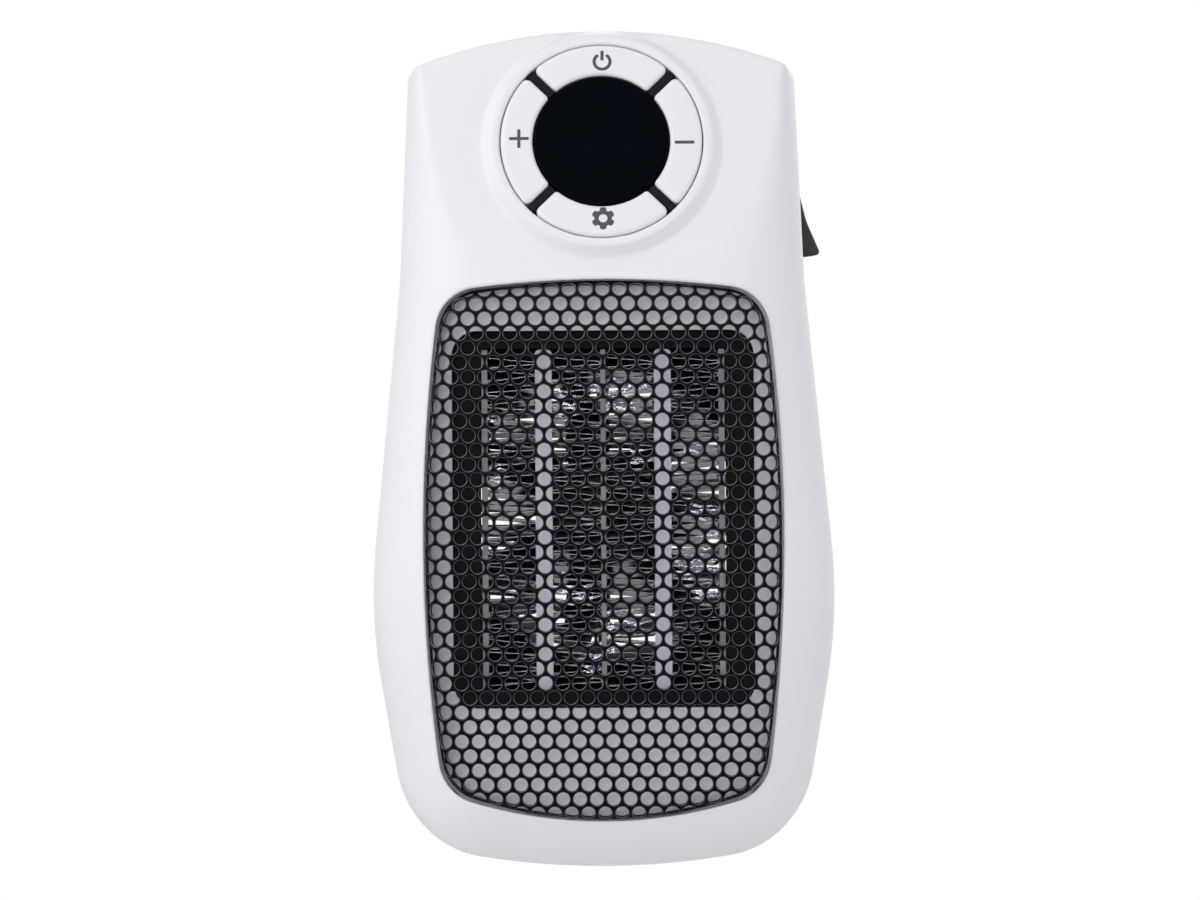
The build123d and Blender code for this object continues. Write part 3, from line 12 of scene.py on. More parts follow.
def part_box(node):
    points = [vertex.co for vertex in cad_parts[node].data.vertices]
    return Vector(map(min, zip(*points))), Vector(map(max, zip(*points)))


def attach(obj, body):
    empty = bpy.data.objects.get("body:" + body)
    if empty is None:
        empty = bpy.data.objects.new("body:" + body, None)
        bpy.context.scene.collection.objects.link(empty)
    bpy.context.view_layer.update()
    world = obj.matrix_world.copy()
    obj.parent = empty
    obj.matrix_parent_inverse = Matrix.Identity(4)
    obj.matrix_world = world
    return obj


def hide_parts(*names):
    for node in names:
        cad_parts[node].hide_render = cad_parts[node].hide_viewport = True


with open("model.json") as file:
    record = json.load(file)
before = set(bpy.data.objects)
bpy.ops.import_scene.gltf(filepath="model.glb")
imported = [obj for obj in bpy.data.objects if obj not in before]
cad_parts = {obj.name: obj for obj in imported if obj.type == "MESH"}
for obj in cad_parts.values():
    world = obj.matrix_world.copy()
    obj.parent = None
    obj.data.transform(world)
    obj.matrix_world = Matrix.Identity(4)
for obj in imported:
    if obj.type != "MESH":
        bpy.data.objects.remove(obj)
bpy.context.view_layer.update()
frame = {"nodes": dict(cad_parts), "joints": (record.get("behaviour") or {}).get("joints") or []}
nodes = frame["nodes"]

# Sizes in millimetres, as in the part's source
MM = 0.001


def corners_of(node):
    """Lowest and highest corners of a node's box, in millimetres."""
    low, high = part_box(node)
    return [c / MM for c in low], [c / MM for c in high]


SHELL_LOW, SHELL_HIGH = corners_of("front_shell")
LENS_LOW, LENS_HIGH = corners_of("display_lens")
TUBES_LOW, TUBES_HIGH = corners_of("ptc_tubes")

# Housing in the front view: each corner's half-width and height, and its radius
TOP, BOTTOM = SHELL_HIGH[2], SHELL_LOW[2]
SHOULDER, SHOULDER_ROUND = (46.1, 35.0), 5.8
WAIST, WAIST_ROUND = (48.3, -15.5), 110.0
HIP, HIP_ROUND = (56.2, -95.1), 126.0
BASE, BASE_ROUND = (47.0, -149.9), 27.0

# Window in the front view: half-widths at its corners and at its middle, crowns and radii
WINDOW_TOP, WINDOW_BOTTOM = TOP - 59.6, BOTTOM + 11.6
WINDOW_HALF, WINDOW_SIDE = 38.4, 42.7
WINDOW_TOP_CROWN, WINDOW_BOTTOM_CROWN = 3.0, 6.9
WINDOW_TOP_ROUND, WINDOW_BOTTOM_ROUND = 11.0, 12.0

# Depths from the wall behind the plug: where the shells meet, and the belly with its round border
SPLIT = -SHELL_HIGH[1]
FRONT = 88.75
BELLY_RADIUS, BELLY_CROWN = 650.0, TOP - 75.0
PILLOW = 23.0
WALL = 2.2
RIM_EDGE, WINDOW_EDGE = 1.6, 0.8

# Control face, which leans back. Its middle lies a little further up the slope than the part's lens.
TILT = math.radians(17.0)
COS, SIN = math.cos(TILT), math.sin(TILT)
RING_RISE = 0.28
CONTROL_Z = (LENS_LOW[2] + LENS_HIGH[2]) / 2 + RING_RISE * COS
CONTROL_DEPTH = -(LENS_LOW[1] + LENS_HIGH[1]) / 2 - RING_RISE * SIN
OPENING, RING_OUT, LENS = 24.2, 23.98, 16.1

# Collar round the control face: its height, and the radii of its crest and foot
COLLAR, COLLAR_EDGE = 2.5, 0.7
CREST, COLLAR_FOOT = 25.9, 28.9
FLANK_EASE = 1.15


# Materials
PAINT = {}
NOISE_DETAIL = 3
RAMP_ENDS = (0.3, 0.7)
# Painted glints: where the colour ramp's added tones start, and the bluish and white tones themselves,
# for the crumpled fins
GLINT_START = 0.40
GLINTS = ((0.46, (0.22, 0.25, 0.32)), (0.54, (0.70, 0.82, 1.0)), (0.61, (1.0, 1.0, 1.0)))


def grain(mat, scale, bump, roughs, colors, stretch=(1, 1, 1)):
    """Fine noise in the roughness, the colour and the bump, which is a strength and a depth."""
    tree = mat.node_tree
    link = tree.links.new
    bsdf = tree.nodes["Principled BSDF"]
    coords = tree.nodes.new("ShaderNodeTexCoord")
    mapping = tree.nodes.new("ShaderNodeMapping")
    mapping.inputs["Scale"].default_value = stretch
    noise = tree.nodes.new("ShaderNodeTexNoise")
    noise.inputs["Scale"].default_value = scale
    noise.inputs["Detail"].default_value = NOISE_DETAIL
    link(coords.outputs["Object"], mapping.inputs["Vector"])
    link(mapping.outputs["Vector"], noise.inputs["Vector"])
    if any(bump):
        dents = tree.nodes.new("ShaderNodeBump")
        dents.inputs["Strength"].default_value = bump[0]
        dents.inputs["Distance"].default_value = bump[1] * MM
        link(noise.outputs["Fac"], dents.inputs["Height"])
        link(dents.outputs["Normal"], bsdf.inputs["Normal"])
    spread = tree.nodes.new("ShaderNodeMapRange")
    spread.inputs["To Min"].default_value = roughs[0]
    spread.inputs["To Max"].default_value = roughs[1]
    link(noise.outputs["Fac"], spread.inputs["Value"])
    link(spread.outputs["Result"], bsdf.inputs["Roughness"])
    ramp = tree.nodes.new("ShaderNodeValToRGB")
    for stop, color, place in zip(ramp.color_ramp.elements, colors, RAMP_ENDS):
        stop.color = (*color, 1)
        stop.position = place
    link(noise.outputs["Fac"], ramp.inputs["Fac"])
    link(ramp.outputs["Color"], bsdf.inputs["Base Color"])


def make(name, color, rough, metal=0.0, spec=0.5, **detail):
    """A material with its colour and roughness, and fine noise about them."""
    mat = bpy.data.materials.new(name)
    mat.use_nodes = True
    bsdf = mat.node_tree.nodes["Principled BSDF"]
    bsdf.inputs["Base Color"].default_value = (*color, 1)
    bsdf.inputs["Roughness"].default_value = rough
    bsdf.inputs["Metallic"].default_value = metal
    bsdf.inputs["Specular IOR Level"].default_value = spec
    grain(mat, **detail)
    PAINT[name] = mat


def add_painted_glints(mat):
    """Painted glints: bluish and white tones laid between a material's two colours, standing in for the
    lights' reflections on crumpled foil.
    """
    ramp = next(n for n in mat.node_tree.nodes if n.bl_idname == "ShaderNodeValToRGB").color_ramp
    for place, tone in GLINTS:
        ramp.elements.new(place).color = (*tone, 1)
    ramp.elements[0].position = GLINT_START


make("shell_white", (0.80, 0.79, 0.83), 0.42, spec=0.35, scale=2600, bump=(0.10, 0.04),
     roughs=(0.38, 0.48), colors=((0.79, 0.78, 0.82), (0.81, 0.80, 0.84)))
make("cap_white", (0.80, 0.79, 0.83), 0.36, spec=0.35, scale=2600, bump=(0.06, 0.03),
     roughs=(0.32, 0.42), colors=((0.79, 0.78, 0.82), (0.81, 0.80, 0.84)))
make("grille_black", (0.0012, 0.0012, 0.004), 0.34, spec=0.05, scale=1500, bump=(0.16, 0.04),
     roughs=(0.28, 0.42), colors=((0.0008, 0.0008, 0.003), (0.0016, 0.0016, 0.005)))
make("grille_edge", (0.08, 0.08, 0.095), 0.26, metal=1.0, scale=1500, bump=(0.10, 0.03),
     roughs=(0.24, 0.36), colors=((0.07, 0.07, 0.085), (0.09, 0.09, 0.105)))
# The baffle is white plastic like the shell, painted brighter than the shell as painted light, making up
# for the light the grille and funnel hold back
make("baffle_painted_bright", (0.91, 0.89, 0.94), 0.5, spec=0.3, scale=900, bump=(0.08, 0.05),
     roughs=(0.45, 0.6), colors=((0.90, 0.88, 0.93), (0.92, 0.90, 0.95)))
# Black plastic painted darker than it is: painted shade for the funnel and the parts deep inside the
# housing
make("black_plastic", (0.002, 0.002, 0.0025), 0.45, spec=0.12, scale=1800, bump=(0.15, 0.04),
     roughs=(0.38, 0.52), colors=((0.0015, 0.0015, 0.002), (0.0025, 0.0025, 0.003)))
make("tube_aluminium", (0.78, 0.79, 0.90), 0.5, metal=0.1, scale=260, bump=(0.08, 0.04),
     roughs=(0.44, 0.56), colors=((0.74, 0.75, 0.86), (0.82, 0.83, 0.94)), stretch=(6, 1, 1))
make("plate_metal", (0.26, 0.26, 0.27), 0.42, metal=0.6, scale=170, bump=(0.6, 0.8),
     roughs=(0.36, 0.48), colors=((0.22, 0.22, 0.23), (0.30, 0.30, 0.30)))
make("fin_aluminium", (0.30, 0.30, 0.325), 0.2, metal=1.0, scale=420, bump=(0.35, 0.1),
     roughs=(0.14, 0.30), colors=((0.25, 0.255, 0.28), (0.35, 0.35, 0.365)))
# Crumpled fins: a brighter metal whose colours run from dark to warm white, with painted glints of
# bluish and white reflections
make("fin_crumpled_painted_glints", (0.8, 0.8, 0.82), 0.14, metal=1.0, scale=1500, bump=(0.9, 0.3),
     roughs=(0.05, 0.25), colors=((0.06, 0.065, 0.08), (1.0, 0.90, 0.76)), stretch=(0.7, 1, 1.6))
add_painted_glints(PAINT["fin_crumpled_painted_glints"])
make("steel", (0.55, 0.55, 0.57), 0.3, metal=1.0, scale=700, bump=(0.1, 0.03),
     roughs=(0.24, 0.38), colors=((0.5, 0.5, 0.52), (0.6, 0.6, 0.62)), stretch=(1, 8, 1))
make("display_gloss", (0.0002, 0.0010, 0.0028), 0.06, spec=0.03, scale=60, bump=(0, 0),
     roughs=(0.05, 0.08), colors=((0.0001, 0.0007, 0.0022), (0.0004, 0.0014, 0.0036)))
make("gloss_black", (0.001, 0.002, 0.006), 0.16, spec=0.2, scale=900, bump=(0.03, 0.02),
     roughs=(0.12, 0.2), colors=((0.0008, 0.0016, 0.005), (0.0014, 0.0026, 0.0075)))
make("rocker_black", (0.014, 0.018, 0.017), 0.35, spec=0.35, scale=1600, bump=(0.08, 0.03),
     roughs=(0.25, 0.36), colors=((0.012, 0.016, 0.015), (0.016, 0.020, 0.019)))
make("print_grey", (0.075, 0.082, 0.095), 0.5, spec=0.2, scale=3000, bump=(0.03, 0.01),
     roughs=(0.45, 0.58), colors=((0.070, 0.077, 0.090), (0.080, 0.087, 0.100)))
make("board_green", (0.03, 0.13, 0.06), 0.35, scale=700, bump=(0.1, 0.03),
     roughs=(0.3, 0.42), colors=((0.025, 0.12, 0.05), (0.035, 0.15, 0.07)))
make("brass", (0.72, 0.55, 0.26), 0.3, metal=1.0, scale=800, bump=(0.1, 0.03),
     roughs=(0.25, 0.4), colors=((0.68, 0.51, 0.23), (0.76, 0.59, 0.29)))
make("pin_nickel", (0.72, 0.71, 0.69), 0.18, metal=1.0, scale=900, bump=(0.06, 0.02),
     roughs=(0.14, 0.24), colors=((0.68, 0.67, 0.65), (0.76, 0.75, 0.73)), stretch=(1, 6, 1))
make("fan_dark", (0.02, 0.02, 0.022), 0.4, scale=900, bump=(0.1, 0.04),
     roughs=(0.34, 0.48), colors=((0.017, 0.017, 0.019), (0.024, 0.024, 0.026)))
make("relay_blue", (0.03, 0.10, 0.33), 0.4, scale=900, bump=(0.05, 0.03),
     roughs=(0.35, 0.45), colors=((0.028, 0.095, 0.31), (0.032, 0.11, 0.35)))
make("capacitor_yellow", (0.65, 0.45, 0.06), 0.4, scale=900, bump=(0.05, 0.03),
     roughs=(0.35, 0.45), colors=((0.62, 0.43, 0.055), (0.68, 0.48, 0.07)))


# Mesh helpers
def add_object(name, data):
    """A new object in the scene."""
    obj = bpy.data.objects.new(name, data)
    bpy.context.scene.collection.objects.link(obj)
    return obj


def mesh_object(name, verts, faces, mat, body, node):
    """A mesh in millimetres that rides on a body and stands for a node."""
    mesh = bpy.data.meshes.new(name)
    mesh.from_pydata([tuple(c * MM for c in v) for v in verts], [], [tuple(f) for f in faces])
    mesh.validate()
    obj = add_object(name, mesh)
    mesh.materials.append(PAINT[mat])
    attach(obj, body)
    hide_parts(node)
    return obj


def rebuild_normals(obj):
    """Turns every face outwards."""
    bm = bmesh.new()
    bm.from_mesh(obj.data)
    bmesh.ops.recalc_face_normals(bm, faces=bm.faces)
    bm.to_mesh(obj.data)
    bm.free()


def sharpen(obj, degrees):
    """Smooth shading, with edges over an angle left sharp."""
    obj.data.shade_smooth()
    obj.data.set_sharp_from_angle(angle=math.radians(degrees))


def loft(rings):
    """Points, and faces between closed rings of equal length."""
    verts = [p for ring in rings for p in ring]
    n = len(rings[0])
    faces = []
    for r in range(len(rings) - 1):
        for i in range(n):
            j = (i + 1) % n
            faces.append((r * n + i, r * n + j, (r + 1) * n + j, (r + 1) * n + i))
    return verts, faces


def closed_loft(rings):
    """The same, with a face over the first ring and one over the last."""
    verts, faces = loft(rings)
    n = len(rings[0])
    faces.append(tuple(range(len(verts) - n, len(verts))))
    faces.append(tuple(reversed(range(n))))
    return verts, faces


def on_control(u, v, w):
    """Point of the control face's own axes in the row frame, in millimetres."""
    return (u, -CONTROL_DEPTH + v * SIN - w * COS, CONTROL_Z + v * COS + w * SIN)


# Outlines
OUTLINE_STEP = 0.4
BARELY_ROUND = 0.05


def line_points(a, b, n):
    """n points along a straight line, without the last."""
    return [(a[0] + (b[0] - a[0]) * i / n, a[1] + (b[1] - a[1]) * i / n) for i in range(n)]


def arc_points(centre, radius, a0, a1, n):
    """n + 1 points along an arc about a centre, from one angle to another."""
    angles = [a0 + (a1 - a0) * i / n for i in range(n + 1)]
    return [(centre[0] + radius * math.cos(a), centre[1] + radius * math.sin(a)) for a in angles]


def arc3(a, b, c, n):
    """n points along the arc through a, b and c, without the last."""
    (ax, ay), (bx, by), (cx, cy) = a, b, c
    d = 2 * (ax * (by - cy) + bx * (cy - ay) + cx * (ay - by))
    qa, qb, qc = ax**2 + ay**2, bx**2 + by**2, cx**2 + cy**2
    ux = (qa * (by - cy) + qb * (cy - ay) + qc * (ay - by)) / d
    uy = (qa * (cx - bx) + qb * (ax - cx) + qc * (bx - ax)) / d
    r = math.hypot(ax - ux, ay - uy)
    t0 = math.atan2(ay - uy, ax - ux)
    t1 = math.atan2(by - uy, bx - ux)
    t2 = math.atan2(cy - uy, cx - ux)
    if (t1 - t0) % (2 * math.pi) < (t2 - t0) % (2 * math.pi):
        sweep = (t2 - t0) % (2 * math.pi)
    else:
        sweep = -((t0 - t2) % (2 * math.pi))
    angles = [t0 + sweep * i / n for i in range(n)]
    return [(ux + r * math.cos(a), uy + r * math.sin(a)) for a in angles]


def resample(points, step):
    """The closed polyline again, with even steps."""
    p = np.array(points + [points[0]], float)
    seg = np.hypot(*(p[1:] - p[:-1]).T)
    s = np.concatenate([[0], np.cumsum(seg)])
    count = int(round(s[-1] / step))
    t = np.arange(count) * s[-1] / count
    return np.column_stack([np.interp(t, s, p[:, 0]), np.interp(t, s, p[:, 1])])


def corner_curve(a, way_in, b, way_out, step):
    """A cubic curve from a to b, close to an arc, that leaves and arrives along the two lines."""
    turn = way_in.angle_signed(way_out)
    chord = (b - a).length
    count = max(6, int(chord / step))
    reach = 4 / 3 * math.tan(abs(turn) / 4) * chord / (2 * math.sin(abs(turn) / 2))
    points = []
    for q in range(count + 1):
        t = q / count
        points.append(
            a * (1 - t) ** 3
            + (a + way_in * reach) * 3 * t * (1 - t) ** 2
            + (b - way_out * reach) * 3 * t * t * (1 - t)
            + b * t**3
        )
    return points


def rounded(points, radii, step=OUTLINE_STEP):
    """Closed polyline with its marked corners rounded. radii maps a corner's index to a radius.
    The runs between corners are already fine, so a corner is cut back along them."""
    pts = [Vector(p) for p in points]
    n = len(pts)
    skip = set()

    # The place a distance along the line from a corner, and the direction there
    def cut_back(k, cut, way):
        i, left = k, cut
        while left > (pts[(i + way) % n] - pts[i]).length:
            left -= (pts[(i + way) % n] - pts[i]).length
            i = (i + way) % n
            skip.add(i)
        heading = (pts[(i + way) % n] - pts[i]).normalized()
        return pts[i] + heading * left, heading

    curves = {}
    for k, radius in radii.items():
        before = (pts[k - 1] - pts[k]).normalized()
        after = (pts[(k + 1) % n] - pts[k]).normalized()
        cut = radius / math.tan(before.angle(after) / 2)
        a, back = cut_back(k, cut, -1)
        b, on = cut_back(k, cut, 1)
        curves[k] = corner_curve(a, -back, b, on, step)
    out = []
    for i in range(n):
        if i in curves:
            out += curves[i]
        elif i not in skip:
            out.append(pts[i])
    return resample([tuple(p) for p in out], step)


def housing_outline(rise=0.0):
    """The housing in the front view. With a rise, its sides run on upwards to a straight top."""
    flare = (WAIST[0] - SHOULDER[0]) / (SHOULDER[1] - WAIST[1])
    shoulder = (SHOULDER[0] - flare * rise, SHOULDER[1] + rise)
    right = [shoulder, WAIST, HIP, BASE]
    left = [(-x, z) for x, z in reversed(right)]
    radii = [BARELY_ROUND if rise else SHOULDER_ROUND, WAIST_ROUND, HIP_ROUND, BASE_ROUND]
    points, marks = [], {}
    for a, b, radius in zip(right, right[1:], radii):
        marks[len(points)] = radius
        points += line_points(a, b, 40)
    marks[len(points)] = BASE_ROUND
    points += arc3(BASE, (0, BOTTOM), left[0], 160)
    for a, b, radius in zip(left, left[1:], reversed(radii)):
        marks[len(points)] = radius
        points += line_points(a, b, 40)
    marks[len(points)] = radii[0]
    points += line_points(left[-1], shoulder, 120) if rise else arc3(left[-1], (0, TOP), shoulder, 160)
    return rounded(points, marks)


def window_outline(inset=0.0, step=OUTLINE_STEP):
    """The window in the front view, drawn in by an inset."""
    top, bottom = WINDOW_TOP - inset, WINDOW_BOTTOM + inset
    high, low = top - WINDOW_TOP_CROWN, bottom + WINDOW_BOTTOM_CROWN
    half, side = WINDOW_HALF - inset, WINDOW_SIDE - inset
    middle = (high + low) / 2
    runs = [
        (WINDOW_TOP_ROUND, (-half, high), (0, top), (half, high), 120),
        (WINDOW_TOP_ROUND, (half, high), (side, middle), (half, low), 160),
        (WINDOW_BOTTOM_ROUND, (half, low), (0, bottom), (-half, low), 120),
        (WINDOW_BOTTOM_ROUND, (-half, low), (-side, middle), (-half, high), 160),
    ]
    points, marks = [], {}
    for radius, a, b, c, count in runs:
        marks[len(points)] = radius - inset
        points += arc3(a, b, c, count)
    return rounded(points, marks, step)


# Distances in the front view
TREES = {}


def nearest(points, line):
    """Index of the line's point that is nearest to each point."""
    key = (len(line), float(line[0, 0]), float(line[0, 1]), float(line[len(line) // 3, 0]))
    if key not in TREES:
        tree = KDTree(len(line))
        for i, (x, z) in enumerate(line):
            tree.insert((x, z, 0), i)
        tree.balance()
        TREES[key] = tree
    find = TREES[key].find
    return np.array([find((x, z, 0))[1] for x, z in points.tolist()], int)


def signed_area(line):
    """Twice the area inside a closed polyline, negative where it runs clockwise."""
    return (line[:, 0] * np.roll(line[:, 1], -1) - np.roll(line[:, 0], -1) * line[:, 1]).sum()


def distance(points, line):
    """Signed distance of points to a closed, finely divided line, positive inside."""
    near = nearest(points, line)
    turn = 1.0 if signed_area(line) > 0 else -1.0
    best = np.full(len(points), np.inf)
    sign = np.ones(len(points))
    for step in (-1, 0):
        a = line[(near + step) % len(line)]
        d = line[(near + step + 1) % len(line)] - a
        rel = points - a
        t = np.clip((rel * d).sum(1) / np.maximum((d**2).sum(1), 1e-12), 0, 1)
        gap = np.hypot(*(rel - t[:, None] * d).T)
        side = np.sign(d[:, 0] * rel[:, 1] - d[:, 1] * rel[:, 0])
        closer = gap < best - 1e-9
        best = np.where(closer, gap, best)
        sign = np.where(closer, side, sign)
    return best * np.where(sign * turn < 0, -1, 1)


def inward(line):
    """Inward unit normals of a closed polyline."""
    t = np.roll(line, -1, axis=0) - np.roll(line, 1, axis=0)
    t /= np.hypot(*t.T)[:, None]
    n = np.column_stack([-t[:, 1], t[:, 0]])
    return n if signed_area(line) > 0 else -n


OUTLINE = housing_outline()
EXTENDED = housing_outline(rise=PILLOW)
WINDOW = window_outline()


# Front shell: the crease under the control face, and the steps of the mesh next to its borders
CREASE, CREASE_SPREAD = 1.2, 2.6
CREASE_FROM, CREASE_FADE = 18.0, 40.0
COLLAR_FADE = 4
RIM_STEPS = (0.03, 0.1, 0.22, 0.4, 0.65, 1.0, 1.5, 2.1, 2.9, 3.9, 5.1, 6.5, 8.0)
WINDOW_STEPS = (0.04, 0.14, 0.3, 0.55, 0.8, 1.15, 1.7, 2.5)
COLLAR_RADII = (
    24.28, 24.42, 24.62, 24.9, 25.3, 25.7, 26.05, 26.4,
    26.8, 27.2, 27.6, 28.0, 28.4, 28.8, 29.2, 29.8,
)
COLLAR_POINTS = 280
GRID_STEP, GRID_HALF = 0.9, 58
GRID_FROM_RIM, GRID_FROM_WINDOW, GRID_FROM_RING = 8.6, 3.0, 30.4
COARSE_BELOW = -30
JOINT_EDGE, JOINT_RETURN = 0.5, 6


def drop(d, radius):
    """How far a round edge falls at a distance in from it."""
    d = np.clip(d, 0, radius)
    return radius - np.sqrt(np.maximum(radius**2 - (radius - d) ** 2, 0))


def collar(r):
    """Height of the collar over the control face at a radius."""
    inner = COLLAR - drop(r - OPENING, COLLAR_EDGE)
    t = np.clip((r - CREST) / (COLLAR_FOOT - CREST), 0, 1)
    flank = COLLAR * (0.5 + 0.5 * np.cos(np.pi * t)) ** FLANK_EASE
    return np.where(r < CREST, inner, flank)


def belly(z):
    """Depth of the belly's crowned face at a height."""
    return FRONT - BELLY_RADIUS + np.sqrt(BELLY_RADIUS**2 - (z - BELLY_CROWN) ** 2)


def smooth_min(a, b, k):
    """The lesser of two heights, with a round crease between them."""
    gap = np.maximum(k - np.abs(a - b), 0) / k
    return np.minimum(a, b) - gap**2 * k / 4


def front_depth(p):
    """Depth of the front surface over points of the front view."""
    x, z = p[:, 0], p[:, 1]
    w = np.zeros(len(p))
    for _ in range(8):
        v = (z - CONTROL_Z - w * SIN) / COS
        w = collar(np.hypot(x, v))
    pillow = belly(z) - drop(distance(p, EXTENDED), PILLOW)
    plane = CONTROL_DEPTH - (z - CONTROL_Z) * math.tan(TILT)
    # The crease fades towards the window
    soft = CREASE + CREASE_SPREAD * np.clip((CREASE_FROM - z) / CREASE_FADE, 0, 1)
    h = smooth_min(pillow, plane, soft)
    h = h + w / COS * np.clip((plane - h + COLLAR_FADE) / COLLAR_FADE, 0, 1)
    h = h - drop(distance(p, OUTLINE), RIM_EDGE)
    return h - drop(-distance(p, WINDOW), WINDOW_EDGE)


def collar_circle(r, turn):
    """A circle of the collar as it shows in the front view."""
    w = float(collar(np.array([r]))[0])
    return np.column_stack([r * np.cos(turn), CONTROL_Z + r * np.sin(turn) * COS + w * SIN])


def shell_grid():
    """Even points over the rest of the face, half as many low down."""
    grid = []
    for k, z in enumerate(np.arange(BOTTOM, TOP, GRID_STEP * 0.866)):
        xs = np.arange(-GRID_HALF, GRID_HALF, GRID_STEP) + (k % 2) * GRID_STEP / 2
        grid.append(np.column_stack([xs, np.full(len(xs), z)]))
    grid = np.vstack(grid)
    radial = np.hypot(grid[:, 0], (grid[:, 1] - CONTROL_Z) / COS)
    keep = (distance(grid, OUTLINE) > GRID_FROM_RIM) & (distance(grid, WINDOW) < -GRID_FROM_WINDOW)
    keep = keep & (radial > GRID_FROM_RING)
    chosen = (np.arange(len(grid)) % 2 == 0) | (grid[:, 1] >= COARSE_BELOW)
    return grid[keep & chosen]


def shell_points(rim_in, window_out, hole, turn):
    """The points inside the front face's borders."""
    points = []
    for d in RIM_STEPS:
        ring = OUTLINE + rim_in * d
        points.append(ring[distance(ring, OUTLINE) > d * 0.985])
    for d in WINDOW_STEPS:
        points.append(WINDOW + window_out * d)
    circles = np.vstack([collar_circle(r, turn) for r in COLLAR_RADII])
    points.append(circles[distance(circles, OUTLINE) > 0.25])
    points.append(shell_grid())
    inner = np.vstack(points)
    return inner[(distance(inner, WINDOW) < -0.02) & (distance(inner, hole) < -0.05)]


def triangulate(rim, window, hole, inner):
    """Flat points and triangles between three borders, and where each first point went."""
    edges, start = [], 0
    for border in (rim, window, hole):
        n = len(border)
        edges += [(start + i, start + (i + 1) % n) for i in range(n)]
        start += n
    cloud = [Vector(p) for p in np.vstack([rim, window, hole, inner])]
    got = delaunay_2d_cdt(cloud, edges, [], 0, 1e-5)
    flat = np.array([tuple(p) for p in got[0]])
    tris = np.array([f for f in got[2] if len(f) == 3])
    mid = flat[tris].mean(1)
    keep = (distance(mid, rim) > 0) & (distance(mid, window) < 0) & (distance(mid, hole) < 0)
    moved = {old: new for new, ids in enumerate(got[3]) for old in ids}
    return flat, tris[keep], moved


def carry_on(verts, faces, border, rows):
    """Carries a border on by rows of points, each row a function of the border's own points."""
    line, count = border, len(border)
    for row in rows:
        start = len(verts)
        verts += [row(i, verts[k]) for i, k in enumerate(border)]
        for i in range(count):
            j = (i + 1) % count
            faces.append((line[i], line[j], start + j, start + i))
        line = [start + i for i in range(count)]


def build_front_shell():
    """The front face with its collar and window, and the walls behind its three borders."""
    rim_in = inward(OUTLINE)
    window_out = -inward(WINDOW)
    turn = np.linspace(0, 2 * np.pi, COLLAR_POINTS + 1)[:-1]
    hole = collar_circle(OPENING, turn)
    inner = shell_points(rim_in, window_out, hole, turn)
    flat, tris, moved = triangulate(OUTLINE, WINDOW, hole, inner)
    verts = [(x, -d, z) for (x, z), d in zip(flat, front_depth(flat))]
    faces = [tuple(t) for t in tris]
    a, b, c = len(OUTLINE), len(WINDOW), len(hole)

    def side(share):
        return lambda i, p: (p[0], p[1] + (-(SPLIT + JOINT_EDGE) - p[1]) * share, p[2])

    def wall(depth, inset):
        return lambda i, p: (p[0] + rim_in[i][0] * inset, -depth, p[2] + rim_in[i][1] * inset)

    def reveal(back, out):
        return lambda i, p: (p[0] + window_out[i][0] * out, p[1] + back, p[2] + window_out[i][1] * out)

    def well(w):
        return lambda i, p: on_control(OPENING * math.cos(turn[i]), OPENING * math.sin(turn[i]), w)

    # Side wall down to the joint, its small round edge and the return behind it
    rows = [side(0.12), side(0.3), side(0.6), side(1.0), wall(SPLIT + 0.15, 0.12), wall(SPLIT, 0.45)]
    rows += [wall(SPLIT, WALL), wall(SPLIT + JOINT_RETURN, WALL)]
    carry_on(verts, faces, [moved[i] for i in range(a)], rows)
    rows = [reveal(0.5, 0), reveal(1.6, 0), reveal(1.9, 0.9)]
    carry_on(verts, faces, [moved[a + i] for i in range(b)], rows)
    rows = [well(0.9), well(0.2), well(-WALL)]
    carry_on(verts, faces, [moved[a + b + i] for i in range(c)], rows)
    obj = mesh_object("shell_front", verts, faces, "shell_white", "housing", "front_shell")
    rebuild_normals(obj)
    sharpen(obj, 50)


build_front_shell()


# Grille: a sheet with round holes, bent back at its rim
HOLE_PITCH, HOLE_RADIUS, HOLE_SIDES = 4.0, 1.6, 18
HOLE_ROW_FROM = -80.2
GRILLE_GAP, GRILLE_BACK = 0.3, 1.2
GRILLE_BEND, GRILLE_SKIRT = 2.4, 4.2
GRILLE_REACH = GRILLE_BEND * math.pi / 2 + GRILLE_SKIRT
GRILLE_STEP = 0.5
SHEET, SHEET_EDGE = 0.7, 0.2


def hole_cell():
    """The hexagon round a hole and the hole itself, with a point of one for each of the other."""
    reach = HOLE_PITCH / math.sqrt(3)
    angles = [math.radians(30 + 60 * k) for k in range(6)]
    corners = [(reach * math.cos(a), reach * math.sin(a)) for a in angles]
    cell = []
    for k in range(6):
        cell += line_points(corners[k], corners[(k + 1) % 6], HOLE_SIDES // 6)
    bearings = [math.atan2(y, x) for x, y in cell]
    return cell, [(HOLE_RADIUS * math.cos(a), HOLE_RADIUS * math.sin(a)) for a in bearings]


def hole_centres(line):
    """Middles of the holes, in staggered rows, out to where the bent rim ends."""
    centres = []
    for j in range(-26, 27):
        z = HOLE_ROW_FROM + j * HOLE_PITCH * math.sqrt(3) / 2
        for i in range(-14, 15):
            centres.append(((i + (j % 2) / 2) * HOLE_PITCH, z))
    centres = np.array(centres)
    return centres[distance(centres, line) >= -(GRILLE_REACH + 2.4)]


def perforated_sheet(line):
    """Flat points and faces of the sheet, where neighbouring cells share their points."""
    cell, ring = hole_cell()
    key, flat, faces = {}, [], []

    def vertex(x, z):
        k = (round(x * 500), round(z * 500))
        if k not in key:
            key[k] = len(flat)
            flat.append((x, z))
        return key[k]

    for cx, cz in hole_centres(line):
        outer = [vertex(cx + x, cz + z) for x, z in cell]
        start = len(flat)
        flat += [(cx + x, cz + z) for x, z in ring]
        for k in range(HOLE_SIDES):
            n = (k + 1) % HOLE_SIDES
            faces.append((outer[k], outer[n], start + n, start + k))
    return np.array(flat), faces


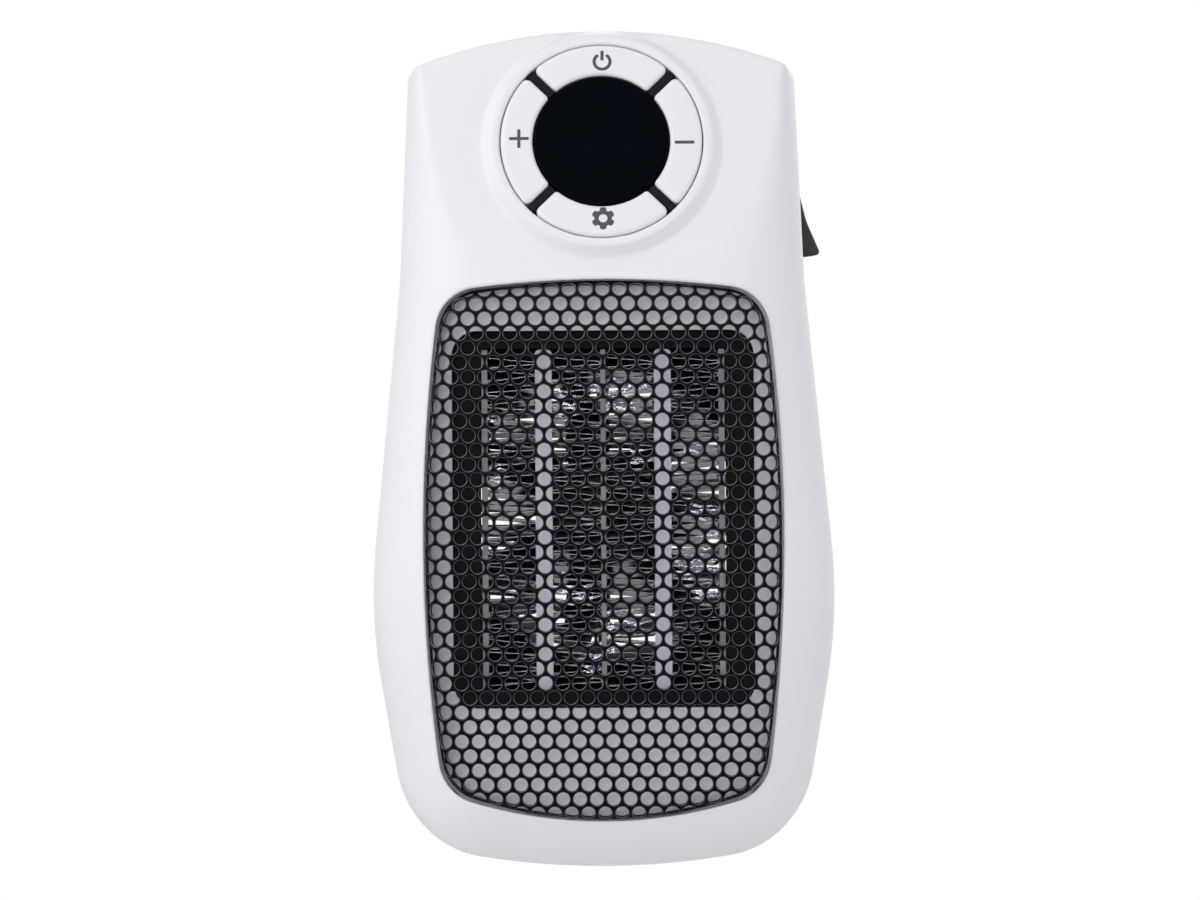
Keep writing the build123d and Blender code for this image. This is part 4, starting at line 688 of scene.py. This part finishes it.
def bend_rim(p, line):
    """The sheet's points laid on the belly and bent back past a line, and their way past it."""
    d = -distance(p, line)
    away = -inward(line)[nearest(p, line)]
    s = np.clip(d, 0, GRILLE_REACH)
    base = p - away * np.maximum(d, 0)[:, None]
    turned = np.minimum(s / GRILLE_BEND, math.pi / 2)
    side = GRILLE_BEND * np.sin(turned)
    fall = GRILLE_BEND * (1 - np.cos(turned)) + np.maximum(s - GRILLE_BEND * math.pi / 2, 0)
    xz = np.where((d > 0)[:, None], base + away * side[:, None], p)
    depth = belly(xz[:, 1]) - GRILLE_BACK - np.where(d > 0, fall, 0)
    return [(x, -y, z) for (x, z), y in zip(xz, depth)], d


def weld_sheet(obj):
    """Joins the sheet's doubled points and turns it to the front."""
    bm = bmesh.new()
    bm.from_mesh(obj.data)
    bmesh.ops.remove_doubles(bm, verts=bm.verts, dist=2e-6)
    bmesh.ops.dissolve_degenerate(bm, edges=bm.edges, dist=1e-6)
    bmesh.ops.recalc_face_normals(bm, faces=bm.faces)
    if sum(f.normal.y for f in bm.faces) > 0:
        bmesh.ops.reverse_faces(bm, faces=bm.faces)
    bm.to_mesh(obj.data)
    bm.free()


def round_edges(obj, width, segments):
    """Bevels the edges over 60 degrees."""
    bevel = obj.modifiers.new("edge", "BEVEL")
    bevel.width = width * MM
    bevel.segments = segments
    bevel.limit_method = "ANGLE"
    bevel.angle_limit = math.radians(60)
    return bevel


def build_grille():
    """The black sheet, whose cut edges have a metal of their own."""
    line = window_outline(GRILLE_GAP + GRILLE_BEND, GRILLE_STEP)
    flat, faces = perforated_sheet(line)
    verts, d = bend_rim(flat, line)
    beyond = d > GRILLE_REACH + 0.02
    faces = [f for f in faces if not all(beyond[v] for v in f)]
    used = sorted({v for f in faces for v in f})
    place = {v: i for i, v in enumerate(used)}
    verts = [verts[v] for v in used]
    faces = [tuple(place[v] for v in f) for f in faces]
    obj = mesh_object("outlet_grille", verts, faces, "grille_black", "housing", "front_grille")
    weld_sheet(obj)
    solid = obj.modifiers.new("sheet", "SOLIDIFY")
    solid.thickness = SHEET * MM
    solid.offset = -1
    bevel = round_edges(obj, SHEET_EDGE, 2)
    bevel.use_clamp_overlap = False
    obj.data.materials.append(PAINT["grille_edge"])
    bevel.material = 1
    obj.data.shade_smooth()


build_grille()


# Heating element: four columns of folded strip
ELEMENT_BACK, ELEMENT_FRONT = -TUBES_HIGH[1], -TUBES_LOW[1]
FIN_COLUMNS = [(-27.6, -16.2), (-12.2, -0.6), (0.6, 12.2), (16.2, 27.6)]
FIN_SIDE_GAP = 0.1
FINS_FROM, FINS_TO = TUBES_LOW[2] + 1.0, TUBES_HIGH[2] - 0.6
FIN_SHEET = 0.13
FIN_PITCH, FIN_BEND = 1.46, 0.62
FIN_TILT, FIN_WAVE, FIN_ROUGH = 0.13, 0.07, 0.20
FIN_FALL, FIN_FALL_SPREAD = 1.3, 0.45
LIP, LIP_DROP, LIP_CRUMPLE, LIP_SPREAD = 0.22, 0.12, 0.34, 0.65
LEG_POINTS, BEND_POINTS = 8, 6

# Crumpled patches of the folds, each with its middle, half-width and half-height in the front view.
# Their fins also get painted glints.
PATCHES = [
    (0.0, -40.8, 11.0, 1.9), (-8.4, -44.5, 2.4, 5.0), (3.8, -44.5, 4.5, 3.5), (-26.3, -51.0, 1.8, 4.0),
    (-26.0, -62.0, 1.8, 3.5), (23.0, -70.5, 3.5, 2.6), (25.5, -80.0, 2.2, 6.0), (20.5, -84.0, 3.0, 3.0),
    (24.5, -90.5, 3.0, 2.4), (0.8, -100.5, 2.2, 7.5), (6.5, -97.5, 3.2, 3.5), (-6.5, -90.5, 4.0, 3.2),
    (-3.0, -106.0, 2.2, 4.0), (22.0, -56.0, 3.0, 2.0), (8.5, -58.0, 2.4, 3.0),
]
# How crumpled a fin must be to get the material with painted glints
PAINTED_GLINT_EDGE = 0.35


def crumple(x, z):
    """How far the fins' front edges are bent over at a place, from 0 to 1."""
    most = 0.0
    for cx, cz, rx, rz in PATCHES:
        most = max(most, math.exp(-(((x - cx) / rx) ** 2 + ((z - cz) / rz) ** 2) ** 1.5))
    return most


def strip(path, slopes, rng):
    """A thin ribbon that follows a path in the front view and runs back through the element. Its
    front edge is bent over a little, more where it is crumpled, and it leans down towards the back."""
    pts = [Vector(p) for p in path]
    verts, faces = [], []
    lips = np.clip(rng.normal(1.0, LIP_SPREAD, len(pts)), 0.1, 2.6)
    depth = ELEMENT_FRONT - ELEMENT_BACK
    for i, p in enumerate(pts):
        t = (pts[min(i + 1, len(pts) - 1)] - pts[max(i - 1, 0)]).normalized()
        n = Vector((-t.y, t.x)) * FIN_SHEET / 2
        bent = crumple(p.x, p.y)
        lip = (LIP_DROP + LIP_CRUMPLE * bent) * lips[i]
        fall = slopes[i]
        rows = [(0.0, -lip - 0.1), (LIP * (1 - 0.4 * bent), 0.0)]
        rows += [(depth * 0.5, -0.45 * fall), (depth, -fall)]
        for back, lift in rows:
            verts.append((p.x + n.x, -ELEMENT_FRONT + back, p.y + n.y + lift))
        for back, lift in reversed(rows):
            verts.append((p.x - n.x, -ELEMENT_FRONT + back, p.y - n.y + lift))
    ring = 2 * len(rows)
    for i in range(len(pts) - 1):
        for k in range(ring):
            n = (k + 1) % ring
            faces.append((ring * i + k, ring * i + n, ring * i + ring + n, ring * i + ring + k))
    faces.append(tuple(range(ring)))
    faces.append(tuple(reversed(range(ring * (len(pts) - 1), ring * len(pts)))))
    return verts, faces


def fin_path(x0, x1, rng):
    """Zigzag between x0 and x1 with tight bends, each leg a little uneven, and the fall of each
    point towards the back."""
    legs = int((FINS_TO - FINS_FROM) / FIN_PITCH)
    r = FIN_BEND / 2
    rise = FIN_PITCH - FIN_BEND
    out, slopes = [], []
    fall = FIN_FALL - 0.05
    for leg in range(legs):
        z = FINS_FROM + leg * FIN_PITCH
        tilt = rng.normal(0, FIN_TILT)
        wave = rng.normal(0, FIN_WAVE)
        fall = 0.75 * fall + 0.25 * rng.normal(FIN_FALL, FIN_FALL_SPREAD)
        way = 1 if leg % 2 == 0 else -1
        xs = (x0 + r, x1 - r) if way == 1 else (x1 - r, x0 + r)
        for q in range(LEG_POINTS + 1):
            t = q / LEG_POINTS
            x = xs[0] + (xs[1] - xs[0]) * t
            rough = crumple(x, z) * rng.normal(0, FIN_ROUGH)
            out.append((x, z + rise * t + tilt * (t - 0.5) + wave * math.sin(t * math.pi) + rough))
            slopes.append(fall)
        if leg < legs - 1:
            for q in range(1, BEND_POINTS):
                a = -math.pi / 2 + math.pi * q / BEND_POINTS
                out.append((xs[1] + way * r * math.cos(a), z + rise + r + r * math.sin(a)))
                slopes.append(fall)
    return out, slopes


def build_element():
    """The columns between the tubes and the plates, with painted glints, a brighter and tinted metal, in
    the crumpled patches.
    """
    verts, faces = [], []
    for k, (x0, x1) in enumerate(FIN_COLUMNS):
        rng = np.random.default_rng(11 + k)
        path, slopes = fin_path(x0 + FIN_SIDE_GAP, x1 - FIN_SIDE_GAP, rng)
        v, f = strip(path, slopes, rng)
        base = len(verts)
        verts += v
        faces += [tuple(i + base for i in q) for q in f]
    obj = mesh_object("element_fins", verts, faces, "fin_aluminium", "housing", "ptc_fins")
    # Fins in the crumpled patches get the brighter metal with painted glints
    obj.data.materials.append(PAINT["fin_crumpled_painted_glints"])
    for face in obj.data.polygons:
        x, _, z = face.center / MM
        face.material_index = int(crumple(x, z) > PAINTED_GLINT_EDGE)
    rebuild_normals(obj)
    sharpen(obj, 28)


build_element()


# Button ring: each key's gaps, corner rounds, section and angle
KEY_HALF_GAP, KEY_LENS_GAP = 1.14, 0.25
KEY_CORNER, KEY_OUTER_CORNER, KEY_LEAST_CORNER = 0.95, 1.5, 0.15
CORNER_POINTS, SIDE_POINTS = 8, 40
CAP_TOP, CAP_LOW, CAP_EDGE = 2.8, -1.5, 1.0
BUTTONS = {"power": 90, "plus": 180, "mode": 270, "minus": 0}


def sector(angle, inset):
    """Closed outline of a key about an angle, drawn in by an inset, in the control face's axes."""
    outer, inner = RING_OUT - inset, LENS + KEY_LENS_GAP + inset
    gap = KEY_HALF_GAP + inset
    outer_corner = max(KEY_OUTER_CORNER - inset, KEY_LEAST_CORNER)
    corner = max(KEY_CORNER - inset, KEY_LEAST_CORNER)
    middle, quarter = math.radians(angle), math.radians(45)
    low, high = middle - quarter, middle + quarter

    # Middle of a corner's round that touches the gap
    def corner_centre(radius, round_off, sign):
        off = gap + round_off
        along = math.sqrt(radius**2 - off**2)
        dx, dy = math.cos(middle + sign * quarter), math.sin(middle + sign * quarter)
        return along * dx + sign * off * dy, along * dy - sign * off * dx

    # Direction of a point, within half a turn of the key's own
    def bearing(point):
        turn = math.atan2(point[1], point[0]) - middle
        return middle + (turn + math.pi) % (2 * math.pi) - math.pi

    c1 = corner_centre(outer - outer_corner, outer_corner, -1)
    c2 = corner_centre(outer - outer_corner, outer_corner, 1)
    c3 = corner_centre(inner + corner, corner, 1)
    c4 = corner_centre(inner + corner, corner, -1)
    t1, t2, t3, t4 = (bearing(c) for c in (c1, c2, c3, c4))
    # From the lower gap round the outer side, then back along the inner side
    out = arc_points(c1, outer_corner, low - math.pi / 2, t1, CORNER_POINTS)[:-1]
    out += arc_points((0, 0), outer, t1, t2, SIDE_POINTS)
    out += arc_points(c2, outer_corner, t2, high + math.pi / 2, CORNER_POINTS)[1:]
    out += arc_points(c3, corner, high + math.pi / 2, t3 + math.pi, CORNER_POINTS)[:-1]
    out += arc_points((0, 0), inner, t3, t4, SIDE_POINTS)
    out += arc_points(c4, corner, t4 + math.pi, low + 1.5 * math.pi, CORNER_POINTS)[1:]
    return out


def key_section():
    """Insets and heights of a key's side, from its foot up over the round edge to its face."""
    rows = [(0, CAP_LOW), (0, CAP_TOP - CAP_EDGE - 0.6), (0, CAP_TOP - CAP_EDGE)]
    for k in range(1, 7):
        a = math.pi / 2 * k / 6
        rows.append((CAP_EDGE * (1 - math.cos(a)), CAP_TOP - CAP_EDGE + CAP_EDGE * math.sin(a)))
    rows.append((CAP_EDGE + 0.35, CAP_TOP))
    return rows


def build_buttons():
    """The four white keys."""
    for name, angle in BUTTONS.items():
        rings = []
        for inset, w in key_section():
            rings.append([on_control(u, v, w) for u, v in sector(angle, inset)])
        verts, faces = closed_loft(rings)
        obj = mesh_object("cap_" + name, verts, faces, "cap_white", "button_" + name, "button_" + name)
        rebuild_normals(obj)
        sharpen(obj, 60)


build_buttons()


# Printed signs, each a little off its key's middle, as in the photograph
SIGN_AT = 19.6
SIGN_LIFT, SIGN_THICK = 0.01, 0.04
POWER_MIDDLE, POWER_RADIUS, POWER_STROKE = (0.28, SIGN_AT + 0.05), 1.89, 0.76
POWER_BAR = (0.3, 2.75)
PLUS_MIDDLE, MINUS_MIDDLE = (-SIGN_AT, 0.46), (SIGN_AT + 0.16, -0.68)
SIGN_ARM, PLUS_HALF, MINUS_STROKE = 2.33, 0.37, 0.75
GEAR_MIDDLE, GEAR_HOLE = (0.3, -SIGN_AT), 1.04
GEAR_TOOTH = (
    (-25, 2.05), (-21, 2.12), (-17, 2.55), (-12, 2.72), (0, 2.78),
    (12, 2.72), (17, 2.55), (21, 2.12), (25, 2.05),
)


def flat_shape(name, loops, body):
    """A printed sign: flat outlines in the control face's axes, a hair thick."""
    curve = bpy.data.curves.new(name, "CURVE")
    curve.dimensions = "2D"
    curve.fill_mode = "BOTH"
    curve.extrude = SIGN_THICK / 2 * MM
    for loop in loops:
        spline = curve.splines.new("POLY")
        spline.points.add(len(loop) - 1)
        for i, (x, y) in enumerate(loop):
            spline.points[i].co = (x * MM, y * MM, 0, 1)
        spline.use_cyclic_u = True
    obj = add_object(name, curve)
    axes = (Vector((1, 0, 0)), Vector((0, SIN, COS)), Vector((0, -COS, SIN)))
    place = Matrix(axes).transposed().to_4x4()
    place.translation = Vector(on_control(0, 0, CAP_TOP + SIGN_LIFT + SIGN_THICK / 2)) * MM
    obj.matrix_world = place
    bpy.context.view_layer.update()
    mesh = bpy.data.meshes.new_from_object(obj.evaluated_get(bpy.context.evaluated_depsgraph_get()))
    mesh.transform(place)
    bpy.data.objects.remove(obj)
    sign = add_object(name, mesh)
    mesh.materials.clear()
    mesh.materials.append(PAINT["print_grey"])
    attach(sign, body)


def band(centre, radius, width, a0, a1):
    """Closed outline of an arc band with round ends."""
    ends = []
    for a in (a0, a1):
        ends.append((centre[0] + radius * math.cos(a), centre[1] + radius * math.sin(a)))
    out = arc_points(centre, radius + width / 2, a0, a1, 40)
    out += arc_points(ends[1], width / 2, a1, a1 + math.pi, 8)[1:-1]
    out += arc_points(centre, radius - width / 2, a1, a0, 40)
    out += arc_points(ends[0], width / 2, a0 + math.pi, a0 + 2 * math.pi, 8)[1:-1]
    return out


def capsule(x0, y0, x1, y1, width, corner):
    """Closed outline of a straight bar of a width, with its corners cut off."""
    along = Vector((x1 - x0, y1 - y0)).normalized()
    across = Vector((-along.y, along.x)) * width / 2
    start, end = Vector((x0, y0)), Vector((x1, y1))
    inner = across * (1 - 2 * corner / width)
    return [tuple(p) for p in (
        start + along * corner - across, end - along * corner - across,
        end - inner, end + inner,
        end - along * corner + across, start + along * corner + across,
        start + inner, start - inner,
    )]


def power_sign():
    """An open ring and a bar in its opening."""
    x, y = POWER_MIDDLE
    up, opening = math.pi / 2, math.radians(40)
    ring = band(POWER_MIDDLE, POWER_RADIUS, POWER_STROKE, up + opening, up + 2 * math.pi - opening)
    flat_shape("mark_power_ring", [ring], "button_power")
    bar = capsule(x, y + POWER_BAR[0], x, y + POWER_BAR[1], POWER_STROKE, 0.12)
    flat_shape("mark_power_bar", [bar], "button_power")


def plus_sign():
    """A cross, one arm at a time."""
    mx, my = PLUS_MIDDLE
    half, cut = PLUS_HALF, 0.1
    arm = [(half, half), (half, SIGN_ARM - cut), (half - cut, SIGN_ARM), (cut - half, SIGN_ARM)]
    arm.append((-half, SIGN_ARM - cut))
    outline = []
    for k in range(4):
        cos, sin = math.cos(k * math.pi / 2), math.sin(k * math.pi / 2)
        outline += [(mx + x * cos - y * sin, my + x * sin + y * cos) for x, y in arm]
    flat_shape("mark_plus", [outline], "button_plus")


def minus_sign():
    """A bar."""
    x, y = MINUS_MIDDLE
    bar = capsule(x - SIGN_ARM, y, x + SIGN_ARM, y, MINUS_STROKE, 0.1)
    flat_shape("mark_minus", [bar], "button_minus")


def gear_sign():
    """A gear with six teeth and a round hole."""
    x, y = GEAR_MIDDLE
    outline = []
    for k in range(6):
        for turn, r in GEAR_TOOTH:
            a = math.radians(60 * k + 30 + turn)
            outline.append((x + r * math.cos(a), y + r * math.sin(a)))
    hole = arc_points(GEAR_MIDDLE, GEAR_HOLE, 0, 2 * math.pi, 36)[:-1]
    flat_shape("mark_gear", [outline, hole], "button_mode")


power_sign()
plus_sign()
minus_sign()
gear_sign()


# Display lens
LENS_TOP, LENS_FOOT = 2.5, -0.98
LENS_EDGE, LENS_EDGE_AT = 0.4, 15.7
LATHE_POINTS = 160


def lathe(profile):
    """Rings about the control face's axis, from a profile of radii and heights."""
    turns = [2 * math.pi * i / LATHE_POINTS for i in range(LATHE_POINTS)]
    return loft([[on_control(r * math.cos(a), r * math.sin(a), w) for a in turns] for r, w in profile])


def build_display():
    """The glossy disc, slightly domed, with a round edge."""
    profile = [(0.02, LENS_TOP), (5, LENS_TOP), (10, LENS_TOP - 0.01), (14, LENS_TOP - 0.03)]
    profile.append((15.3, LENS_TOP - 0.05))
    for k in range(7):
        a = math.pi / 2 * k / 6
        fall = 0.46 - LENS_EDGE * math.cos(a)
        profile.append((LENS_EDGE_AT + LENS_EDGE * math.sin(a), LENS_TOP - fall))
    profile += [(LENS, LENS_TOP - 0.8), (LENS, LENS_FOOT)]
    verts, faces = lathe(profile)
    faces.append(tuple(range(LATHE_POINTS)))
    obj = mesh_object("display_glass", verts, faces, "display_gloss", "housing", "display_lens")
    rebuild_normals(obj)
    sharpen(obj, 60)


build_display()


# Black frame: a floor under the gaps, an inner rim and four bevelled spokes
FRAME_FLOOR, FRAME_EDGE = -2.1, -2.2
SPOKE_HALF, SPOKE_FOOT, SPOKE_TOP = 1.05, -2.15, 1.8
SPOKE_CUT = 0.23
SPOKE_FALL = 0.25
SPOKE_ENDS = (LENS + 0.12, RING_OUT + 0.05)


def spoke(angle, base):
    """Points and faces of one spoke, with its points counted from a base."""
    cos, sin = math.cos(math.radians(angle)), math.sin(math.radians(angle))
    near, far = SPOKE_ENDS
    half, shoulder = SPOKE_HALF, SPOKE_TOP - SPOKE_FALL
    rows = [(-half, SPOKE_FOOT), (-half, shoulder), (SPOKE_CUT - half, SPOKE_TOP)]
    rows += [(-off, w) for off, w in reversed(rows)]
    verts, faces = [], []
    for r in (near, near + SPOKE_FALL, far - SPOKE_FALL, far):
        for off, w in rows:
            low = SPOKE_FALL if r in SPOKE_ENDS and w > 0 else 0.0
            verts.append(on_control(r * cos - off * sin, r * sin + off * cos, w - low))
    m = len(rows)
    for k in range(3):
        for i in range(base + k * m, base + k * m + m - 1):
            faces.append((i, i + 1, i + m + 1, i + m))
    faces.append(tuple(base + i for i in range(m)))
    faces.append(tuple(base + 3 * m + i for i in reversed(range(m))))
    return verts, faces


def build_frame():
    """The floor with its rims, and the spokes over the gaps between the keys."""
    floor = [(LENS + 0.02, FRAME_EDGE), (LENS + 0.25, FRAME_FLOOR)]
    floor += [(RING_OUT, FRAME_FLOOR), (OPENING - 0.02, FRAME_EDGE)]
    verts, faces = lathe(floor)
    for angle in (45, 135, 225, 315):
        v, f = spoke(angle, len(verts))
        verts += v
        faces += f
    obj = mesh_object("ring_frame", verts, faces, "gloss_black", "housing", "button_frame")
    rebuild_normals(obj)
    sharpen(obj, 30)


build_frame()


# Rocker: its outline seen from the side, along and out of its face, and its corners' radii
ROCKER_HALF_WIDTH = 5.3
ROCKER_EDGE = 0.5
ROCKER_OUTLINE = [(-8.5, -0.1), (0, -0.3), (8.6, 0.9), (7.6, -6.3), (0, -7.4), (-7.4, -6.3)]
ROCKER_ROUNDS = {0: 0.9, 1: 20.0, 2: 0.9, 3: 0.5, 5: 0.5}


def rocker_axes():
    """Middle of the rocker's face, and its directions along, out of and across it, from its node."""
    joint = next(j for j in frame["joints"] if j["name"] == "rocker_tilt")
    across = Vector(joint["axis"]).normalized()
    flat_up = (Vector((0, 0, 1)) - across * across.z).normalized()
    flat_out = (Vector((1, 0, 0)) - across * across.x - flat_up * flat_up.x).normalized()
    node = nodes["rocker_cap"]
    points = [node.matrix_world @ v.co / MM for v in node.data.vertices]
    upper = max(points, key=lambda p: p.dot(flat_up))
    tip = max(points, key=lambda p: p.dot(flat_out))
    depths = [p.dot(across) for p in points]
    upper = upper - across * upper.dot(across)
    tip = tip - across * tip.dot(across)
    along = (tip - upper).normalized()
    out = along.cross(across)
    if out.dot(flat_out) < 0:
        out = -out
    middle = (upper + tip) / 2 + across * (min(depths) + max(depths)) / 2
    return middle, along, out, across


def build_rocker():
    """The rocker, a prism with a hollow face and round edges."""
    middle, along, out, across = rocker_axes()
    outline = rounded(ROCKER_OUTLINE, ROCKER_ROUNDS)
    rings = []
    for side in (-ROCKER_HALF_WIDTH, ROCKER_HALF_WIDTH):
        rings.append([tuple(middle + along * a + out * b + across * side) for a, b in outline])
    verts, faces = closed_loft(rings)
    obj = mesh_object("rocker_key", verts, faces, "rocker_black", "rocker", "rocker_cap")
    rebuild_normals(obj)
    round_edges(obj, ROCKER_EDGE, 3)
    sharpen(obj, 50)


build_rocker()


# Carried-over nodes, by their material
LOOK = {
    "shell_white": ["rear_shell", "plug_body"],
    # The baffle, white plastic painted brighter as painted light
    "baffle_painted_bright": ["outlet_baffle"],
    # Black parts, painted darker as painted shade inside the housing
    "black_plastic": [
        "heater_bracket", "thermostat", "fan_duct", "push_switches", "display_module", "turret_retainer",
    ],
    "tube_aluminium": ["ptc_tubes"],
    "plate_metal": ["ptc_plates"],
    "brass": ["ptc_terminals", "switch_terminals", "contact_tracks", "brush_contacts"],
    "steel": [
        "thermal_fuse", "fan_motor", "motor_shaft", "shell_screws", "duct_screws", "motor_screws",
        "board_screws", "turret_screws",
    ],
    "fan_dark": ["fan_impeller"],
    "board_green": ["control_board", "power_board"],
    "rocker_black": ["switch_body"],
    "pin_nickel": ["plug_pins"],
    "relay_blue": ["relay"],
    "capacitor_yellow": ["filter_capacitor"],
}
LOOK["black_plastic"] += ["plunger_" + name for name in BUTTONS]
WELD_GAP = 0.001
SHARP_ANGLE = 32


def dress(node, look):
    """A node's material, with flat faces that shade flat and round ones that shade round."""
    node.data.materials.clear()
    node.data.materials.append(PAINT[look])
    weld = node.modifiers.new("weld", "WELD")
    weld.merge_threshold = WELD_GAP * MM
    node.data.shade_smooth()
    split = node.modifiers.new("split", "EDGE_SPLIT")
    split.split_angle = math.radians(SHARP_ANGLE)
    split.use_edge_sharp = False
    weighted = node.modifiers.new("normals", "WEIGHTED_NORMAL")
    weighted.keep_sharp = True


for look, names in LOOK.items():
    for name in names:
        dress(nodes[name], look)


# Stage, in metres: the floor, the light all round, the softboxes and the camera
FLOOR_SIZE, FLOOR_Z = 3.0, -0.24
ROOM_LIGHT, ROOM_SEEN = 0.34, 1.0
AIM = (0, -0.06, -0.056)
SOFTBOXES = [
    ("key", (-0.9, -0.8, 0.85), (0.3, 0.3), 3.3),
    ("side", (-0.42, -0.62, 0.08), (0.35, 0.55), 0.9),
    ("front", (-0.25, -2.2, 0.25), (0.5, 0.5), 6.0),
    ("left", (-1.2, -0.25, 0.0), (0.8, 1.2), 2.7),
    ("right", (1.2, -0.25, 0.0), (0.8, 1.2), 5.2),
    ("top", (-0.1, -0.6, 1.3), (1.0, 0.8), 4.8),
    ("back", (0.3, 1.6, 0.7), (1.4, 1.1), 12.0),
]
CAMERA_DISTANCE, CAMERA_X, CAMERA_Z = 2.6, -0.00077, -0.0561
CAMERA_ROLL = 0.35
VIEW_WIDTH, VIEW_AT = 0.288, 0.055
SENSOR = 36


def build_floor():
    """A plain white card under the heater."""
    bpy.ops.mesh.primitive_plane_add(size=FLOOR_SIZE, location=(0, 0, FLOOR_Z))
    card = bpy.context.object
    card.name = "floor"
    mat = bpy.data.materials.new("floor")
    mat.use_nodes = True
    bsdf = mat.node_tree.nodes["Principled BSDF"]
    bsdf.inputs["Base Color"].default_value = (0.85, 0.85, 0.86, 1)
    bsdf.inputs["Roughness"].default_value = 0.9
    bsdf.inputs["Specular IOR Level"].default_value = 0.0
    card.data.materials.append(mat)


def background(tree, strength):
    """A white background of a strength."""
    shader = tree.nodes.new("ShaderNodeBackground")
    shader.inputs["Color"].default_value = (1, 1, 1, 1)
    shader.inputs["Strength"].default_value = strength
    return shader


def build_world():
    """White where it is seen, mirrored or seen through, and dimmer as a light on the rest."""
    world = bpy.data.worlds.new("studio")
    bpy.context.scene.world = world
    world.use_nodes = True
    tree = world.node_tree
    link = tree.links.new
    tree.nodes.clear()
    out = tree.nodes.new("ShaderNodeOutputWorld")
    mix = tree.nodes.new("ShaderNodeMixShader")
    path = tree.nodes.new("ShaderNodeLightPath")
    seen = path.outputs["Is Camera Ray"]
    for ray in ("Is Glossy Ray", "Is Transmission Ray"):
        either = tree.nodes.new("ShaderNodeMath")
        either.operation = "MAXIMUM"
        link(seen, either.inputs[0])
        link(path.outputs[ray], either.inputs[1])
        seen = either.outputs["Value"]
    link(seen, mix.inputs["Fac"])
    link(background(tree, ROOM_LIGHT).outputs["Background"], mix.inputs[1])
    link(background(tree, ROOM_SEEN).outputs["Background"], mix.inputs[2])
    link(mix.outputs["Shader"], out.inputs["Surface"])


def softbox(name, place, size, power):
    """A rectangular light that faces the heater and isn't seen itself."""
    lamp = bpy.data.lights.new(name, "AREA")
    lamp.shape = "RECTANGLE"
    lamp.size, lamp.size_y = size
    lamp.energy = power
    obj = add_object(name, lamp)
    obj.location = place
    obj.visible_camera = False
    way = Vector(AIM) - Vector(place)
    obj.rotation_euler = way.to_track_quat("-Z", "Y").to_euler()


def build_camera():
    """The photograph's view: level, from the front, with a slight roll."""
    data = bpy.data.cameras.new("camera")
    camera = add_object("camera", data)
    bpy.context.scene.camera = camera
    data.sensor_width = SENSOR
    data.lens = SENSOR / VIEW_WIDTH * (CAMERA_DISTANCE - VIEW_AT)
    data.clip_start, data.clip_end = 0.1, 50
    camera.location = (CAMERA_X, -CAMERA_DISTANCE, CAMERA_Z)
    camera.rotation_euler = (math.radians(90), math.radians(CAMERA_ROLL), 0)


build_floor()
build_world()
for name, place, size, power in SOFTBOXES:
    softbox(name, place, size, power)
build_camera()

bpy.context.scene.view_settings.view_transform = "Standard"
